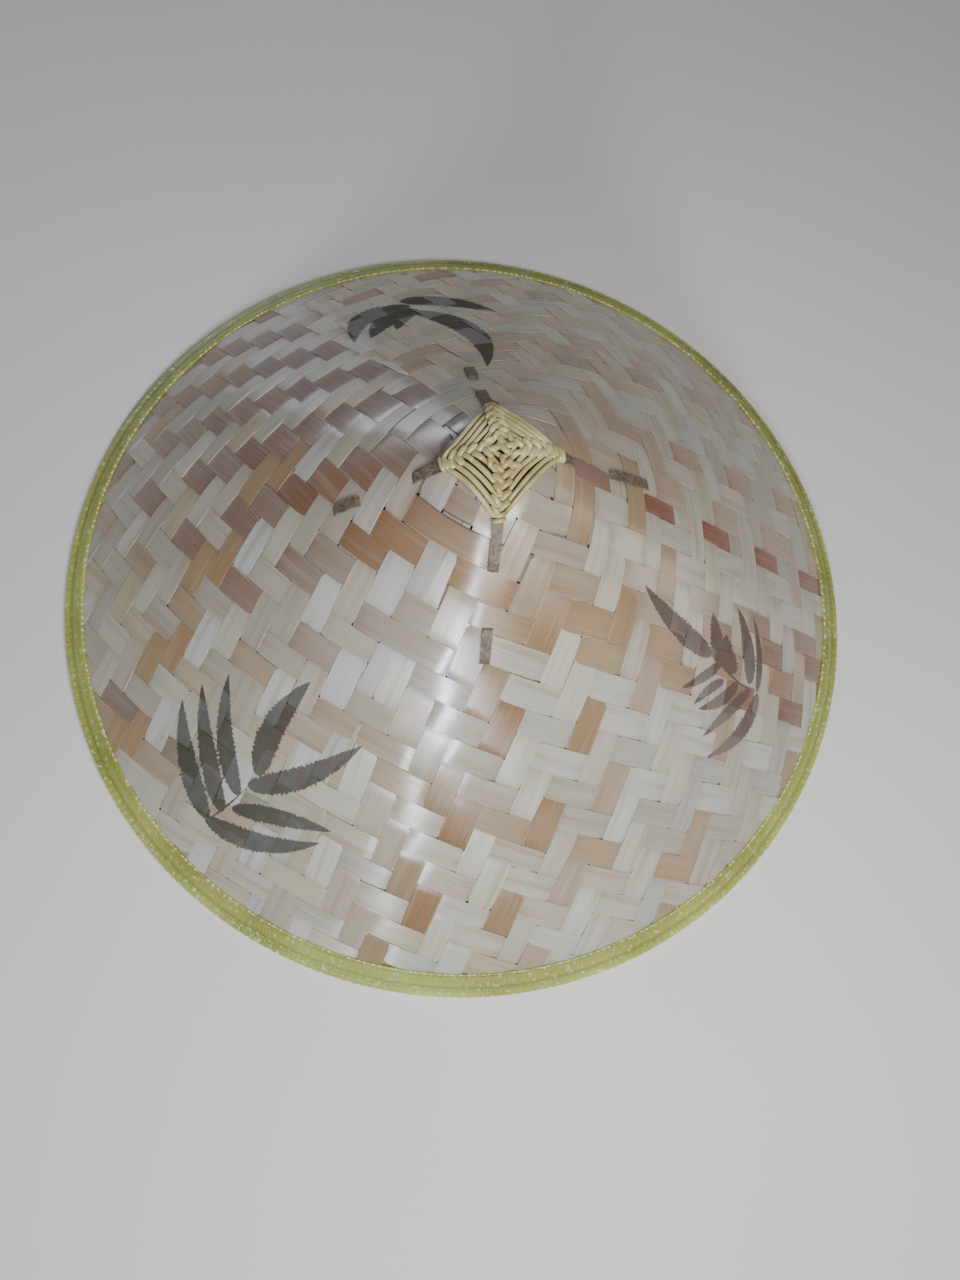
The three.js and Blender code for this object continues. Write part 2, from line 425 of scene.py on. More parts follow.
@dataclass(frozen=True)
class LeafInk:
    """Three bamboo-leaf sprays in thin dark ink, dabbed through a stencil on the outer face.

    The ink soaks into the splints, so that their grain still shows through, and its edges are crisp
    and toothed. Lengths are in millimetres.
    """

    blades: tuple[Blade, ...] = (
        Blade((-86.0, -146.4), (-109.7, -100.1), 10.2, 3.5),
        Blade((-79.5, -142.5), (-101.5, -92.5), 9.2, 2.3),
        Blade((-73.6, -134.3), (-89.5, -87.2), 9.1, 4.0),
        Blade((-66.9, -124.8), (-52.1, -85.8), 12.6, 4.2),
        Blade((-69.9, -129.8), (-24.6, -105.0), 10.4, -4.2),
        Blade((-75.2, -140.0), (-28.9, -140.1), 7.6, 0.5),
        Blade((-86.9, -146.6), (-32.5, -145.4), 9.2, -5.4),
        Blade((-85.8, -147.2), (-69.2, -128.9), 1.4, -0.8),
        Blade((114.7, -24.2), (71.6, -14.9), 10.6, 2.3),
        Blade((119.0, -25.4), (110.2, -6.2), 9.0, -0.6),
        Blade((129.3, -26.2), (120.2, -11.5), 11.5, 1.5),
        Blade((141.0, -25.6), (124.5, 4.2), 8.8, -2.4),
        Blade((146.5, -27.0), (134.7, 6.3), 4.9, -2.5),
        Blade((121.3, -24.3), (102.5, -44.5), 5.0, 1.2),
        Blade((124.9, -31.1), (111.2, -48.3), 4.8, -0.9),
        Blade((133.5, -28.6), (114.4, -48.7), 6.2, 2.3),
        Blade((141.8, -28.2), (120.8, -58.7), 5.9, 0.1),
        Blade((147.4, -27.6), (126.6, -65.4), 7.6, 5.2),
        Blade((117.4, -24.3), (147.4, -27.6), 1.6, -1.9),
        Blade((-71.0, 127.2), (-20.7, 125.7), 14.3, 3.7),
        Blade((-60.8, 114.9), (-15.8, 59.5), 14.5, 12.9),
        Blade((-65.6, 122.3), (-81.0, 80.4), 15.2, -11.7),
        Blade((-62.7, 118.6), (-74.3, 84.5), 15.2, -3.6),
        Blade((-60.4, 117.5), (-63.7, 92.2), 9.2, -2.3),
    )
    green_ink: str = "#4d4f46"
    brown_ink: str = "#66524a"
    tooth: float = 1.9
    tooth_depth: float = 0.14
    ragged: float = 1.6
    ragged_depth: float = 0.5
    softness: float = 0.3
    blunt: float = 0.42
    taper: float = 0.78
    fullness: float = 2.2
    blotch: float = 7.0
    cover: tuple[float, float] = (0.88, 0.99)
    patchiness: float = 0.5
    browner_range: tuple[float, float] = (0.18, 0.32)
    seen_through: float = 0.25
    matt: float = 0.32

    def _leaf_group(self) -> bpy.types.NodeTree:
        """Make the group that masks one toothed, bowed leaf.

        It takes the position seen from above with the mask so far in Z, and passes both on, so that the
        leaves are worked out one after the other.

        Returns:
            The group.
        """
        tree = bpy.data.node_groups.new("stencilled_leaf", "ShaderNodeTree")
        vectors = ("Plan", "Base", "Axis", "Side")
        numbers = ("Teeth", "Half width", "Bow", "Ragged")
        for name in vectors:
            tree.interface.new_socket(name, in_out="INPUT", socket_type="NodeSocketVector")
        for name in numbers:
            tree.interface.new_socket(name, in_out="INPUT", socket_type="NodeSocketFloat")
        tree.interface.new_socket("Plan", in_out="OUTPUT", socket_type="NodeSocketVector")
        given = add_node(tree, "NodeGroupInput")
        ends = {0: given["Plan"], 1: given["Base"]}
        offset = add_node(tree, "ShaderNodeVectorMath", ends, operation="SUBTRACT")[0]
        lengthwise = {0: offset, 1: given["Axis"]}
        along = add_node(tree, "ShaderNodeVectorMath", lengthwise, operation="DOT_PRODUCT")[1]
        sideways = {0: offset, 1: given["Side"]}
        aside = add_node(tree, "ShaderNodeVectorMath", sideways, operation="DOT_PRODUCT")[1]
        share = add_node(tree, "ShaderNodeClamp", {0: along, 1: 0.0, 2: 1.0})[0]
        rest = add_node(tree, "ShaderNodeMath", {0: 1.0, 1: share}, operation="SUBTRACT")[0]
        # The leaf's middle line is a parabola. Its half width is blunt at the base and long at the tip.
        arch = add_node(tree, "ShaderNodeMath", {0: share, 1: rest}, operation="MULTIPLY")[0]
        reach = add_node(tree, "ShaderNodeMath", {0: given["Bow"], 1: 4.0}, operation="MULTIPLY")[0]
        centre = add_node(tree, "ShaderNodeMath", {0: arch, 1: reach}, operation="MULTIPLY")[0]
        blunt = add_node(tree, "ShaderNodeMath", {0: share, 1: self.blunt}, operation="POWER")[0]
        tapered = add_node(tree, "ShaderNodeMath", {0: rest, 1: self.taper}, operation="POWER")[0]
        bulge = add_node(tree, "ShaderNodeMath", {0: blunt, 1: tapered}, operation="MULTIPLY")[0]
        counted = add_node(tree, "ShaderNodeMath", {0: share, 1: given["Teeth"]}, operation="MULTIPLY")[0]
        teeth = add_node(tree, "ShaderNodeMath", {0: counted}, operation="FRACT")[0]
        notched = {0: teeth, 3: self.fullness, 4: self.fullness * (1 - self.tooth_depth)}
        notch = add_node(tree, "ShaderNodeMapRange", notched)[0]
        full = add_node(tree, "ShaderNodeMath", {0: bulge, 1: notch}, operation="MULTIPLY")[0]
        even = add_node(tree, "ShaderNodeMath", {0: full, 1: given["Half width"]}, operation="MULTIPLY")[0]
        half = add_node(tree, "ShaderNodeMath", {0: even, 1: given["Ragged"]}, operation="MULTIPLY")[0]
        shifted = add_node(tree, "ShaderNodeMath", {0: aside, 1: centre}, operation="SUBTRACT")[0]
        away = add_node(tree, "ShaderNodeMath", {0: shifted}, operation="ABSOLUTE")[0]
        inside = add_node(tree, "ShaderNodeMath", {0: half, 1: away}, operation="SUBTRACT")[0]
        mask = add_node(tree, "ShaderNodeMapRange", {0: inside, 1: 0.0, 2: self.softness * MM})[0]
        parts = add_node(tree, "ShaderNodeSeparateXYZ", {0: given["Plan"]})
        most = add_node(tree, "ShaderNodeMath", {0: parts[2], 1: mask}, operation="MAXIMUM")[0]
        joined = add_node(tree, "ShaderNodeCombineXYZ", {0: parts[0], 1: parts[1], 2: most})[0]
        add_node(tree, "NodeGroupOutput", {"Plan": joined})
        return tree

    def dab(
        self, tree: bpy.types.NodeTree, bare: bpy.types.NodeSocket
    ) -> tuple[bpy.types.NodeSocket, bpy.types.NodeSocket]:
        """Dab the sprays over a bare colour.

        Args:
            tree: Tree that takes the nodes.
            bare: Socket of the colour without ink.

        Returns:
            Sockets of the inked colour and of the mask.
        """
        group = self._leaf_group()
        place = add_node(tree, "ShaderNodeTexCoord")["Object"]
        flattened = {0: place, 1: (1.0, 1.0, 0.0)}
        plan = add_node(tree, "ShaderNodeVectorMath", flattened, operation="MULTIPLY")[0]
        tatters = {"Vector": place, "Scale": 1 / (self.ragged * MM), "Detail": 1.0}
        tattered = add_node(tree, "ShaderNodeTexNoise", tatters)[0]
        ends = {0: tattered, 3: 1 - self.ragged_depth / 2, 4: 1 + self.ragged_depth / 2}
        ragged = add_node(tree, "ShaderNodeMapRange", ends)[0]
        for blade in self.blades:
            base = Vector((*blade.base, 0)) * MM
            run = Vector((*blade.tip, 0)) * MM - base
            values = {
                "Plan": plan,
                "Base": base,
                "Axis": run / run.length_squared,
                "Side": Vector((-run.y, run.x, 0)).normalized(),
                "Teeth": run.length / (self.tooth * MM),
                "Half width": blade.width / 2 * MM,
                "Bow": blade.bow * MM,
                "Ragged": ragged,
            }
            plan = add_node(tree, "ShaderNodeGroup", values, node_tree=group)["Plan"]
        mask = add_node(tree, "ShaderNodeSeparateXYZ", {0: plan})[2]
        values = {"Vector": place, "Scale": 1 / (self.blotch * MM), "Detail": 4.0}
        blotch = add_node(tree, "ShaderNodeTexNoise", values)[0]
        ends = {0: blotch, 1: NOISE_LOW, 2: NOISE_HIGH, 3: self.cover[0], 4: self.cover[1]}
        cover = add_node(tree, "ShaderNodeMapRange", ends)[0]
        covered = add_node(tree, "ShaderNodeMath", {0: mask, 1: cover}, operation="MULTIPLY")[0]
        # The ink turns from green to brown towards the right of the hat, in patches.
        across = add_node(tree, "ShaderNodeSeparateXYZ", {0: place})[0]
        shifts = {0: blotch, 1: self.patchiness, 2: across}
        patchy = add_node(tree, "ShaderNodeMath", shifts, operation="MULTIPLY_ADD")[0]
        ends = {0: patchy, 1: self.browner_range[0], 2: self.browner_range[1]}
        browner = add_node(tree, "ShaderNodeMapRange", ends)[0]
        inks = {0: browner, 6: linear(self.green_ink), 7: linear(self.brown_ink)}
        ink = add_node(tree, "ShaderNodeMix", inks, data_type="RGBA")[2]
        layers = {0: self.seen_through, 6: ink, 7: bare}
        soaked = add_node(tree, "ShaderNodeMix", layers, data_type="RGBA", blend_type="MULTIPLY")[2]
        return add_node(tree, "ShaderNodeMix", {0: covered, 6: bare, 7: soaked}, data_type="RGBA")[2], mask


@dataclass(frozen=True)
class DriedBamboo:
    """Dried bamboo splints, split from the culm and shaved flat by hand, in millimetres.

    Splitting leaves long fibres, which show as fine streaks and as broader bands of tan. Shaving leaves
    a satin face, whose gloss spreads across the fibres under the splint's own thin wax. Handling pales
    A painted highlight pales parts of the edges, handling cracks a fibre here and there, and painted shade
    darkens the places where a splint dives.
    """

    palette: tuple[str, ...] = (
        "#bfbcaa",
        "#bbb09f",
        "#c5c2b1",
        "#b1a998",
        "#b8ad8e",
        "#b2b0a5",
        "#c9c7ba",
        "#ab9478",
    )
    tan: str = "#98784f"
    pale: str = "#d8d3c4"
    recess_shade: str = "#4a3c2f"
    shadow: str = "#1d1712"
    ink: LeafInk = LeafInk()
    splint: float = 11.3
    fibre: float = 0.45
    fibre_length: float = 33.0
    band: float = 4.0
    band_length: float = 60.0
    roughness: float = 0.28
    fibre_roughness: tuple[float, float] = (-0.06, 0.08)
    anisotropy: float = 0.85
    gloss_turn: float = 0.25
    specular: float = 1.0
    inner_specular: float = 0.5
    wax: float = 0.3
    wax_roughness: float = 0.18
    tanned: float = 0.4
    tan_range: tuple[float, float] = (0.5, 0.75)
    bleached: float = 0.15
    bleached_range: tuple[float, float] = (0.45, 0.25)
    fibre_shade: tuple[float, float] = (0.92, 1.05)
    cracked: float = 0.12
    crack_range: tuple[float, float] = (0.7, 0.74)
    edge_highlight: float = 0.4
    edge_highlight_range: tuple[float, float] = (0.52, 0.62)
    edge_range: tuple[float, float] = (0.45, 0.49)
    gap_range: tuple[float, float] = (0.44, 0.47)
    recess_shading: float = 0.22
    relief: float = 0.13
    wax_relief: float = 0.08
    relief_height: float = 0.1

    def material(self, face: Face) -> bpy.types.Material:
        """Make the material of one face. Only the outer face has the stencilled leaves.

        Args:
            face: Which face of the splints it is for.

        Returns:
            The material.
        """
        made = new_material(f"dried_bamboo_{face.name.lower()}")
        tree = made.node_tree
        own = add_node(tree, "ShaderNodeAttribute", attribute_name="splint_colour")["Color"]
        sunk = add_node(tree, "ShaderNodeAttribute", attribute_name="sunk")["Fac"]
        parted = add_node(tree, "ShaderNodeAttribute", attribute_name="parted")["Fac"]
        uv = add_node(tree, "ShaderNodeUVMap", uv_map=UV_NAME)["UV"]
        # Bamboo fibres are about 0.2 mm apart, and are drawn more than twice as coarse, so that they show.
        fibre_scale = (1 / (self.fibre_length * MM), self.splint / self.fibre, 1.0)
        fibre_place = add_node(tree, "ShaderNodeMapping", {"Vector": uv, "Scale": fibre_scale})[0]
        fibre = add_node(tree, "ShaderNodeTexNoise", {"Vector": fibre_place, "Scale": 1.0, "Detail": 3.0})[0]
        band_scale = (1 / (self.band_length * MM), self.splint / self.band, 1.0)
        band_place = add_node(tree, "ShaderNodeMapping", {"Vector": uv, "Scale": band_scale})[0]
        band = add_node(tree, "ShaderNodeTexNoise", {"Vector": band_place, "Scale": 1.0, "Detail": 1.0})[0]
        ends = {0: band, 1: self.tan_range[0], 2: self.tan_range[1], 3: 0.0, 4: self.tanned}
        tanned = add_node(tree, "ShaderNodeMapRange", ends)[0]
        tones = {0: tanned, 6: own, 7: linear(self.tan)}
        banded = add_node(tree, "ShaderNodeMix", tones, data_type="RGBA")[2]
        low, high = self.bleached_range
        ends = {0: band, 1: low, 2: high, 3: 0.0, 4: self.bleached}
        bleached = add_node(tree, "ShaderNodeMapRange", ends)[0]
        tones = {0: bleached, 6: banded, 7: linear(self.pale)}
        light = add_node(tree, "ShaderNodeMix", tones, data_type="RGBA")[2]
        ends = {0: fibre, 1: NOISE_LOW, 2: NOISE_HIGH, 3: self.fibre_shade[0], 4: self.fibre_shade[1]}
        depth = add_node(tree, "ShaderNodeMapRange", ends)[0]
        grained = add_node(tree, "ShaderNodeVectorMath", {0: light, 3: depth}, operation="SCALE")[0]
        ends = {0: fibre, 1: self.crack_range[0], 2: self.crack_range[1], 3: 0.0, 4: self.cracked}
        split = add_node(tree, "ShaderNodeMapRange", ends)[0]
        tones = {0: split, 6: grained, 7: linear(self.pale)}
        cracked = add_node(tree, "ShaderNodeMix", tones, data_type="RGBA")[2]
        across = add_node(tree, "ShaderNodeSeparateXYZ", {0: uv})[1]
        from_middle = add_node(tree, "ShaderNodeMath", {0: across, 1: 0.5}, operation="SUBTRACT")[0]
        edge = add_node(tree, "ShaderNodeMath", {0: from_middle}, operation="ABSOLUTE")[0]
        ends = {0: edge, 1: self.edge_range[0], 2: self.edge_range[1]}
        edge_line = add_node(tree, "ShaderNodeMapRange", ends)[0]
        # Parts of the outer edges get a pale painted highlight, standing for light caught by the raised edge.
        most = self.edge_highlight if face is Face.OUTER else 0.0
        ends = {0: band, 1: self.edge_highlight_range[0], 2: self.edge_highlight_range[1], 3: 0.0, 4: most}
        here = add_node(tree, "ShaderNodeMapRange", ends)[0]
        edge_highlight_mask = add_node(tree, "ShaderNodeMath", {0: edge_line, 1: here}, operation="MULTIPLY")[0]
        tones = {0: edge_highlight_mask, 6: cracked, 7: linear(self.pale)}
        edge_highlight = add_node(tree, "ShaderNodeMix", tones, data_type="RGBA")[2]
        # Painted shade darkens each splint where it lies low and dives under its neighbours.
        recess_shade_share = add_node(tree, "ShaderNodeMath", {0: sunk, 1: self.recess_shading}, operation="MULTIPLY")[0]
        tones = {0: recess_shade_share, 6: edge_highlight, 7: linear(self.recess_shade)}
        recess_shading = add_node(tree, "ShaderNodeMix", tones, data_type="RGBA")[2]
        ends = {0: edge, 1: self.gap_range[0], 2: self.gap_range[1]}
        gap = add_node(tree, "ShaderNodeMapRange", ends)[0]
        gap_line = add_node(tree, "ShaderNodeMath", {0: gap, 1: parted}, operation="MULTIPLY")[0]
        tones = {0: gap_line, 6: recess_shading, 7: linear(self.shadow)}
        colour = add_node(tree, "ShaderNodeMix", tones, data_type="RGBA")[2]
        # The darker fibres are a little smoother than the pale ones between them.
        smooth, coarse = (self.roughness + change for change in self.fibre_roughness)
        ends = {0: fibre, 1: NOISE_LOW, 2: NOISE_HIGH, 3: smooth, 4: coarse}
        rough = add_node(tree, "ShaderNodeMapRange", ends)[0]
        waxed = 0.0
        if face is Face.OUTER:
            colour, mask = self.ink.dab(tree, colour)
            matted = {0: mask, 1: self.ink.matt, 2: rough}
            rough = add_node(tree, "ShaderNodeMath", matted, operation="MULTIPLY_ADD")[0]
            waxed = add_node(tree, "ShaderNodeMapRange", {0: mask, 3: self.wax, 4: 0.0})[0]
        tangent = add_node(tree, "ShaderNodeTangent", direction_type="UV_MAP", uv_map=UV_NAME)[0]
        relief = {"Strength": self.relief, "Distance": self.relief_height * MM, "Height": fibre}
        wax_relief = {**relief, "Strength": self.wax_relief}
        values = {
            "Base Color": colour,
            "Roughness": rough,
            "Tangent": tangent,
            "Normal": add_node(tree, "ShaderNodeBump", relief)[0],
            "Anisotropic": self.anisotropy,
            "Anisotropic Rotation": self.gloss_turn,
            "Specular IOR Level": self.specular if face is Face.OUTER else self.inner_specular,
            "Coat Weight": waxed,
            "Coat Roughness": self.wax_roughness,
            "Coat Normal": add_node(tree, "ShaderNodeBump", wax_relief)[0],
        }
        add_node(tree, "ShaderNodeOutputMaterial", {0: add_node(tree, "ShaderNodeBsdfPrincipled", values)[0]})
        return made


@dataclass(frozen=True)
class StrawBraid:
    """Braid plaited from split straw, dyed yellow-green, in millimetres.

    The straw's skin is glossy. Pale flecks of painted highlight stand in for its glints, and painted shade
    darkens the grooves and edges.
    """

    dark: str = "#8f9438"
    light: str = "#bdc660"
    skin: str = "#cfd283"
    groove: str = "#5d6123"
    glint: str = "#f3f2cc"
    cloud: float = 45.0
    fleck: float = 2.2
    strand_slant: float = 0.9
    strand_scale: tuple[float, float, float] = (9.0, 2.0, 1.0)
    dye_range: tuple[float, float] = (0.35, 0.65)
    skin_share: float = 0.6
    skin_range: tuple[float, float] = (0.45, 0.7)
    glint_share: float = 0.65
    glint_range: tuple[float, float] = (0.62, 0.7)
    gloss_range: tuple[float, float] = (0.4, 0.7)
    roughness: float = 0.42
    glint_roughness: float = 0.2
    relief: float = 0.6
    relief_height: float = 0.45

    def material(self) -> bpy.types.Material:
        """Make the material. The braid's UV runs in plaits along the rim, and across the profile.

        Returns:
            The material.
        """
        made = new_material("dyed_straw_braid")
        tree = made.node_tree
        uv = add_node(tree, "ShaderNodeUVMap", uv_map=UV_NAME)["UV"]
        place = add_node(tree, "ShaderNodeTexCoord")["Object"]
        shade = add_node(tree, "ShaderNodeAttribute", attribute_name="shade")["Fac"]
        slanted = {"Vector": uv, "Rotation": (0.0, 0.0, self.strand_slant), "Scale": self.strand_scale}
        slant = add_node(tree, "ShaderNodeMapping", slanted)[0]
        strand = add_node(tree, "ShaderNodeTexNoise", {"Vector": slant, "Scale": 1.0, "Detail": 3.0})[0]
        values = {"Vector": place, "Scale": 1 / (self.cloud * MM)}
        cloud = add_node(tree, "ShaderNodeTexNoise", values)[0]
        ends = {0: cloud, 1: self.dye_range[0], 2: self.dye_range[1]}
        dyed = add_node(tree, "ShaderNodeMapRange", ends)[0]
        dyes = {0: dyed, 6: linear(self.dark), 7: linear(self.light)}
        base = add_node(tree, "ShaderNodeMix", dyes, data_type="RGBA")[2]
        ends = {0: strand, 1: self.skin_range[0], 2: self.skin_range[1], 3: 0.0, 4: self.skin_share}
        shown = add_node(tree, "ShaderNodeMapRange", ends)[0]
        tones = {0: shown, 6: base, 7: linear(self.skin)}
        streaked = add_node(tree, "ShaderNodeMix", tones, data_type="RGBA")[2]
        values = {"Vector": place, "Scale": 1 / (self.fleck * MM), "Detail": 1.0}
        fleck = add_node(tree, "ShaderNodeTexNoise", values)[0]
        # Pale flecks of painted highlight stand in for the glints on the straw's glossy skin.
        ends = {0: fleck, 1: self.glint_range[0], 2: self.glint_range[1], 3: 0.0, 4: self.glint_share}
        bright = add_node(tree, "ShaderNodeMapRange", ends)[0]
        tones = {0: bright, 6: streaked, 7: linear(self.glint)}
        flecked = add_node(tree, "ShaderNodeMix", tones, data_type="RGBA")[2]
        # The shade attribute darkens the braid towards the groove colour: painted shade in the grooves, at
        # the free edges and on the bead's sides.
        tones = {0: shade, 6: flecked, 7: linear(self.groove)}
        colour = add_node(tree, "ShaderNodeMix", tones, data_type="RGBA")[2]
        low, high = self.gloss_range
        ends = {0: fleck, 1: low, 2: high, 3: self.roughness, 4: self.glint_roughness}
        relief = {"Strength": self.relief, "Distance": self.relief_height * MM, "Height": strand}
        values = {
            "Base Color": colour,
            "Roughness": add_node(tree, "ShaderNodeMapRange", ends)[0],
            "Normal": add_node(tree, "ShaderNodeBump", relief)[0],
        }
        add_node(tree, "ShaderNodeOutputMaterial", {0: add_node(tree, "ShaderNodeBsdfPrincipled", values)[0]})
        return made


@dataclass(frozen=True)
class PlantFibre:
    """Plain stretched plant fibre, such as a smoked slat or a thread: streaks along one direction.

    Lengths are in millimetres: how long a streak is, and how far the next one lies beside it.
    """

    name: str
    dark: str
    light: str
    streak: float
    spacing: float
    roughness: float
    streak_range: tuple[float, float] = (0.32, 0.68)
    relief: float = 0.4
    relief_height: float = 0.15

    def material(self, turn_deg: float = 0.0) -> bpy.types.Material:
        """Make the material.

        Args:
            turn_deg: Direction of the streaks seen from above.

        Returns:
            The material.
        """
        made = new_material(self.name)
        tree = made.node_tree
        place = add_node(tree, "ShaderNodeTexCoord")["Object"]
        turn = (0.0, 0.0, -math.radians(turn_deg))
        turned = add_node(tree, "ShaderNodeMapping", {"Vector": place, "Rotation": turn})[0]
        scale = (1 / (self.streak * MM), 1 / (self.spacing * MM), 1 / (self.spacing * MM))
        stretched = add_node(tree, "ShaderNodeMapping", {"Vector": turned, "Scale": scale})[0]
        streak = add_node(tree, "ShaderNodeTexNoise", {"Vector": stretched, "Scale": 1.0, "Detail": 3.0})[0]
        ends = {0: streak, 1: self.streak_range[0], 2: self.streak_range[1]}
        share = add_node(tree, "ShaderNodeMapRange", ends)[0]
        ends = {0: share, 6: linear(self.dark), 7: linear(self.light)}
        relief = {"Strength": self.relief, "Distance": self.relief_height * MM, "Height": streak}
        values = {
            "Base Color": add_node(tree, "ShaderNodeMix", ends, data_type="RGBA")[2],
            "Normal": add_node(tree, "ShaderNodeBump", relief)[0],
            "Roughness": self.roughness,
        }
        add_node(tree, "ShaderNodeOutputMaterial", {0: add_node(tree, "ShaderNodeBsdfPrincipled", values)[0]})
        return made


@dataclass(frozen=True)
class RattanStrand:
    """Straw-yellow rattan, split and drawn to an even strand, in millimetres.

    Drawing leaves lengthwise streaks and a satin skin. The dark between the strands is painted shade on the
    core beneath them.
    """

    dark: str = "#b0a069"
    light: str = "#dccf9c"
    streak_colour: str = "#84703c"
    cloud: float = 14.0
    streak: float = 16.0
    streaks_around: float = 9.0
    cloud_range: tuple[float, float] = (0.35, 0.65)
    streak_share: float = 0.7
    streak_range: tuple[float, float] = (0.48, 0.75)
    roughness: float = 0.3
    gloss: float = 0.5
    gloss_roughness: float = 0.2
    relief: float = 0.35
    relief_height: float = 0.15

    def material(self) -> bpy.types.Material:
        """Make the material. A strand's UV runs in metres along it and once round it.

        Returns:
            The material.
        """
        made = new_material("drawn_rattan")
        tree = made.node_tree
        uv = add_node(tree, "ShaderNodeUVMap", uv_map=UV_NAME)["UV"]
        place = add_node(tree, "ShaderNodeTexCoord")["Object"]
        scale = (1 / (self.streak * MM), self.streaks_around, 1.0)
        along = add_node(tree, "ShaderNodeMapping", {"Vector": uv, "Scale": scale})[0]
        streak = add_node(tree, "ShaderNodeTexNoise", {"Vector": along, "Scale": 1.0, "Detail": 3.0})[0]
        values = {"Vector": place, "Scale": 1 / (self.cloud * MM)}
        cloud = add_node(tree, "ShaderNodeTexNoise", values)[0]
        ends = {0: cloud, 1: self.cloud_range[0], 2: self.cloud_range[1]}
        share = add_node(tree, "ShaderNodeMapRange", ends)[0]
        ends = {0: share, 6: linear(self.dark), 7: linear(self.light)}
        base = add_node(tree, "ShaderNodeMix", ends, data_type="RGBA")[2]
        low, high = self.streak_range
        ends = {0: streak, 1: low, 2: high, 3: 0.0, 4: self.streak_share}
        shown = add_node(tree, "ShaderNodeMapRange", ends)[0]
        streaks = {0: shown, 6: base, 7: linear(self.streak_colour)}
        relief = {"Strength": self.relief, "Distance": self.relief_height * MM, "Height": streak}
        values = {
            "Base Color": add_node(tree, "ShaderNodeMix", streaks, data_type="RGBA")[2],
            "Normal": add_node(tree, "ShaderNodeBump", relief)[0],
            "Roughness": self.roughness,
            "Coat Weight": self.gloss,
            "Coat Roughness": self.gloss_roughness,
        }
        add_node(tree, "ShaderNodeOutputMaterial", {0: add_node(tree, "ShaderNodeBsdfPrincipled", values)[0]})
        return made


@dataclass(frozen=True)
class PaintedBoard:
    """Matt painted board under the hat, in metres. Its paint is rolled on, so it is only faintly uneven."""

    dark: str = "#eceae6"
    light: str = "#f2f0ed"
    patch: float = 0.33
    roughness: float = 0.8

    def material(self) -> bpy.types.Material:
        """Make the material.

        Returns:
            The material.
        """
        made = new_material("painted_board")
        tree = made.node_tree
        place = add_node(tree, "ShaderNodeTexCoord")["Object"]
        patch = add_node(tree, "ShaderNodeTexNoise", {"Vector": place, "Scale": 1 / self.patch})[0]
        share = add_node(tree, "ShaderNodeMapRange", {0: patch, 1: NOISE_LOW, 2: NOISE_HIGH})[0]
        ends = {0: share, 6: linear(self.dark), 7: linear(self.light)}
        values = {
            "Base Color": add_node(tree, "ShaderNodeMix", ends, data_type="RGBA")[2],
            "Roughness": self.roughness,
        }
        add_node(tree, "ShaderNodeOutputMaterial", {0: add_node(tree, "ShaderNodeBsdfPrincipled", values)[0]})
        return made


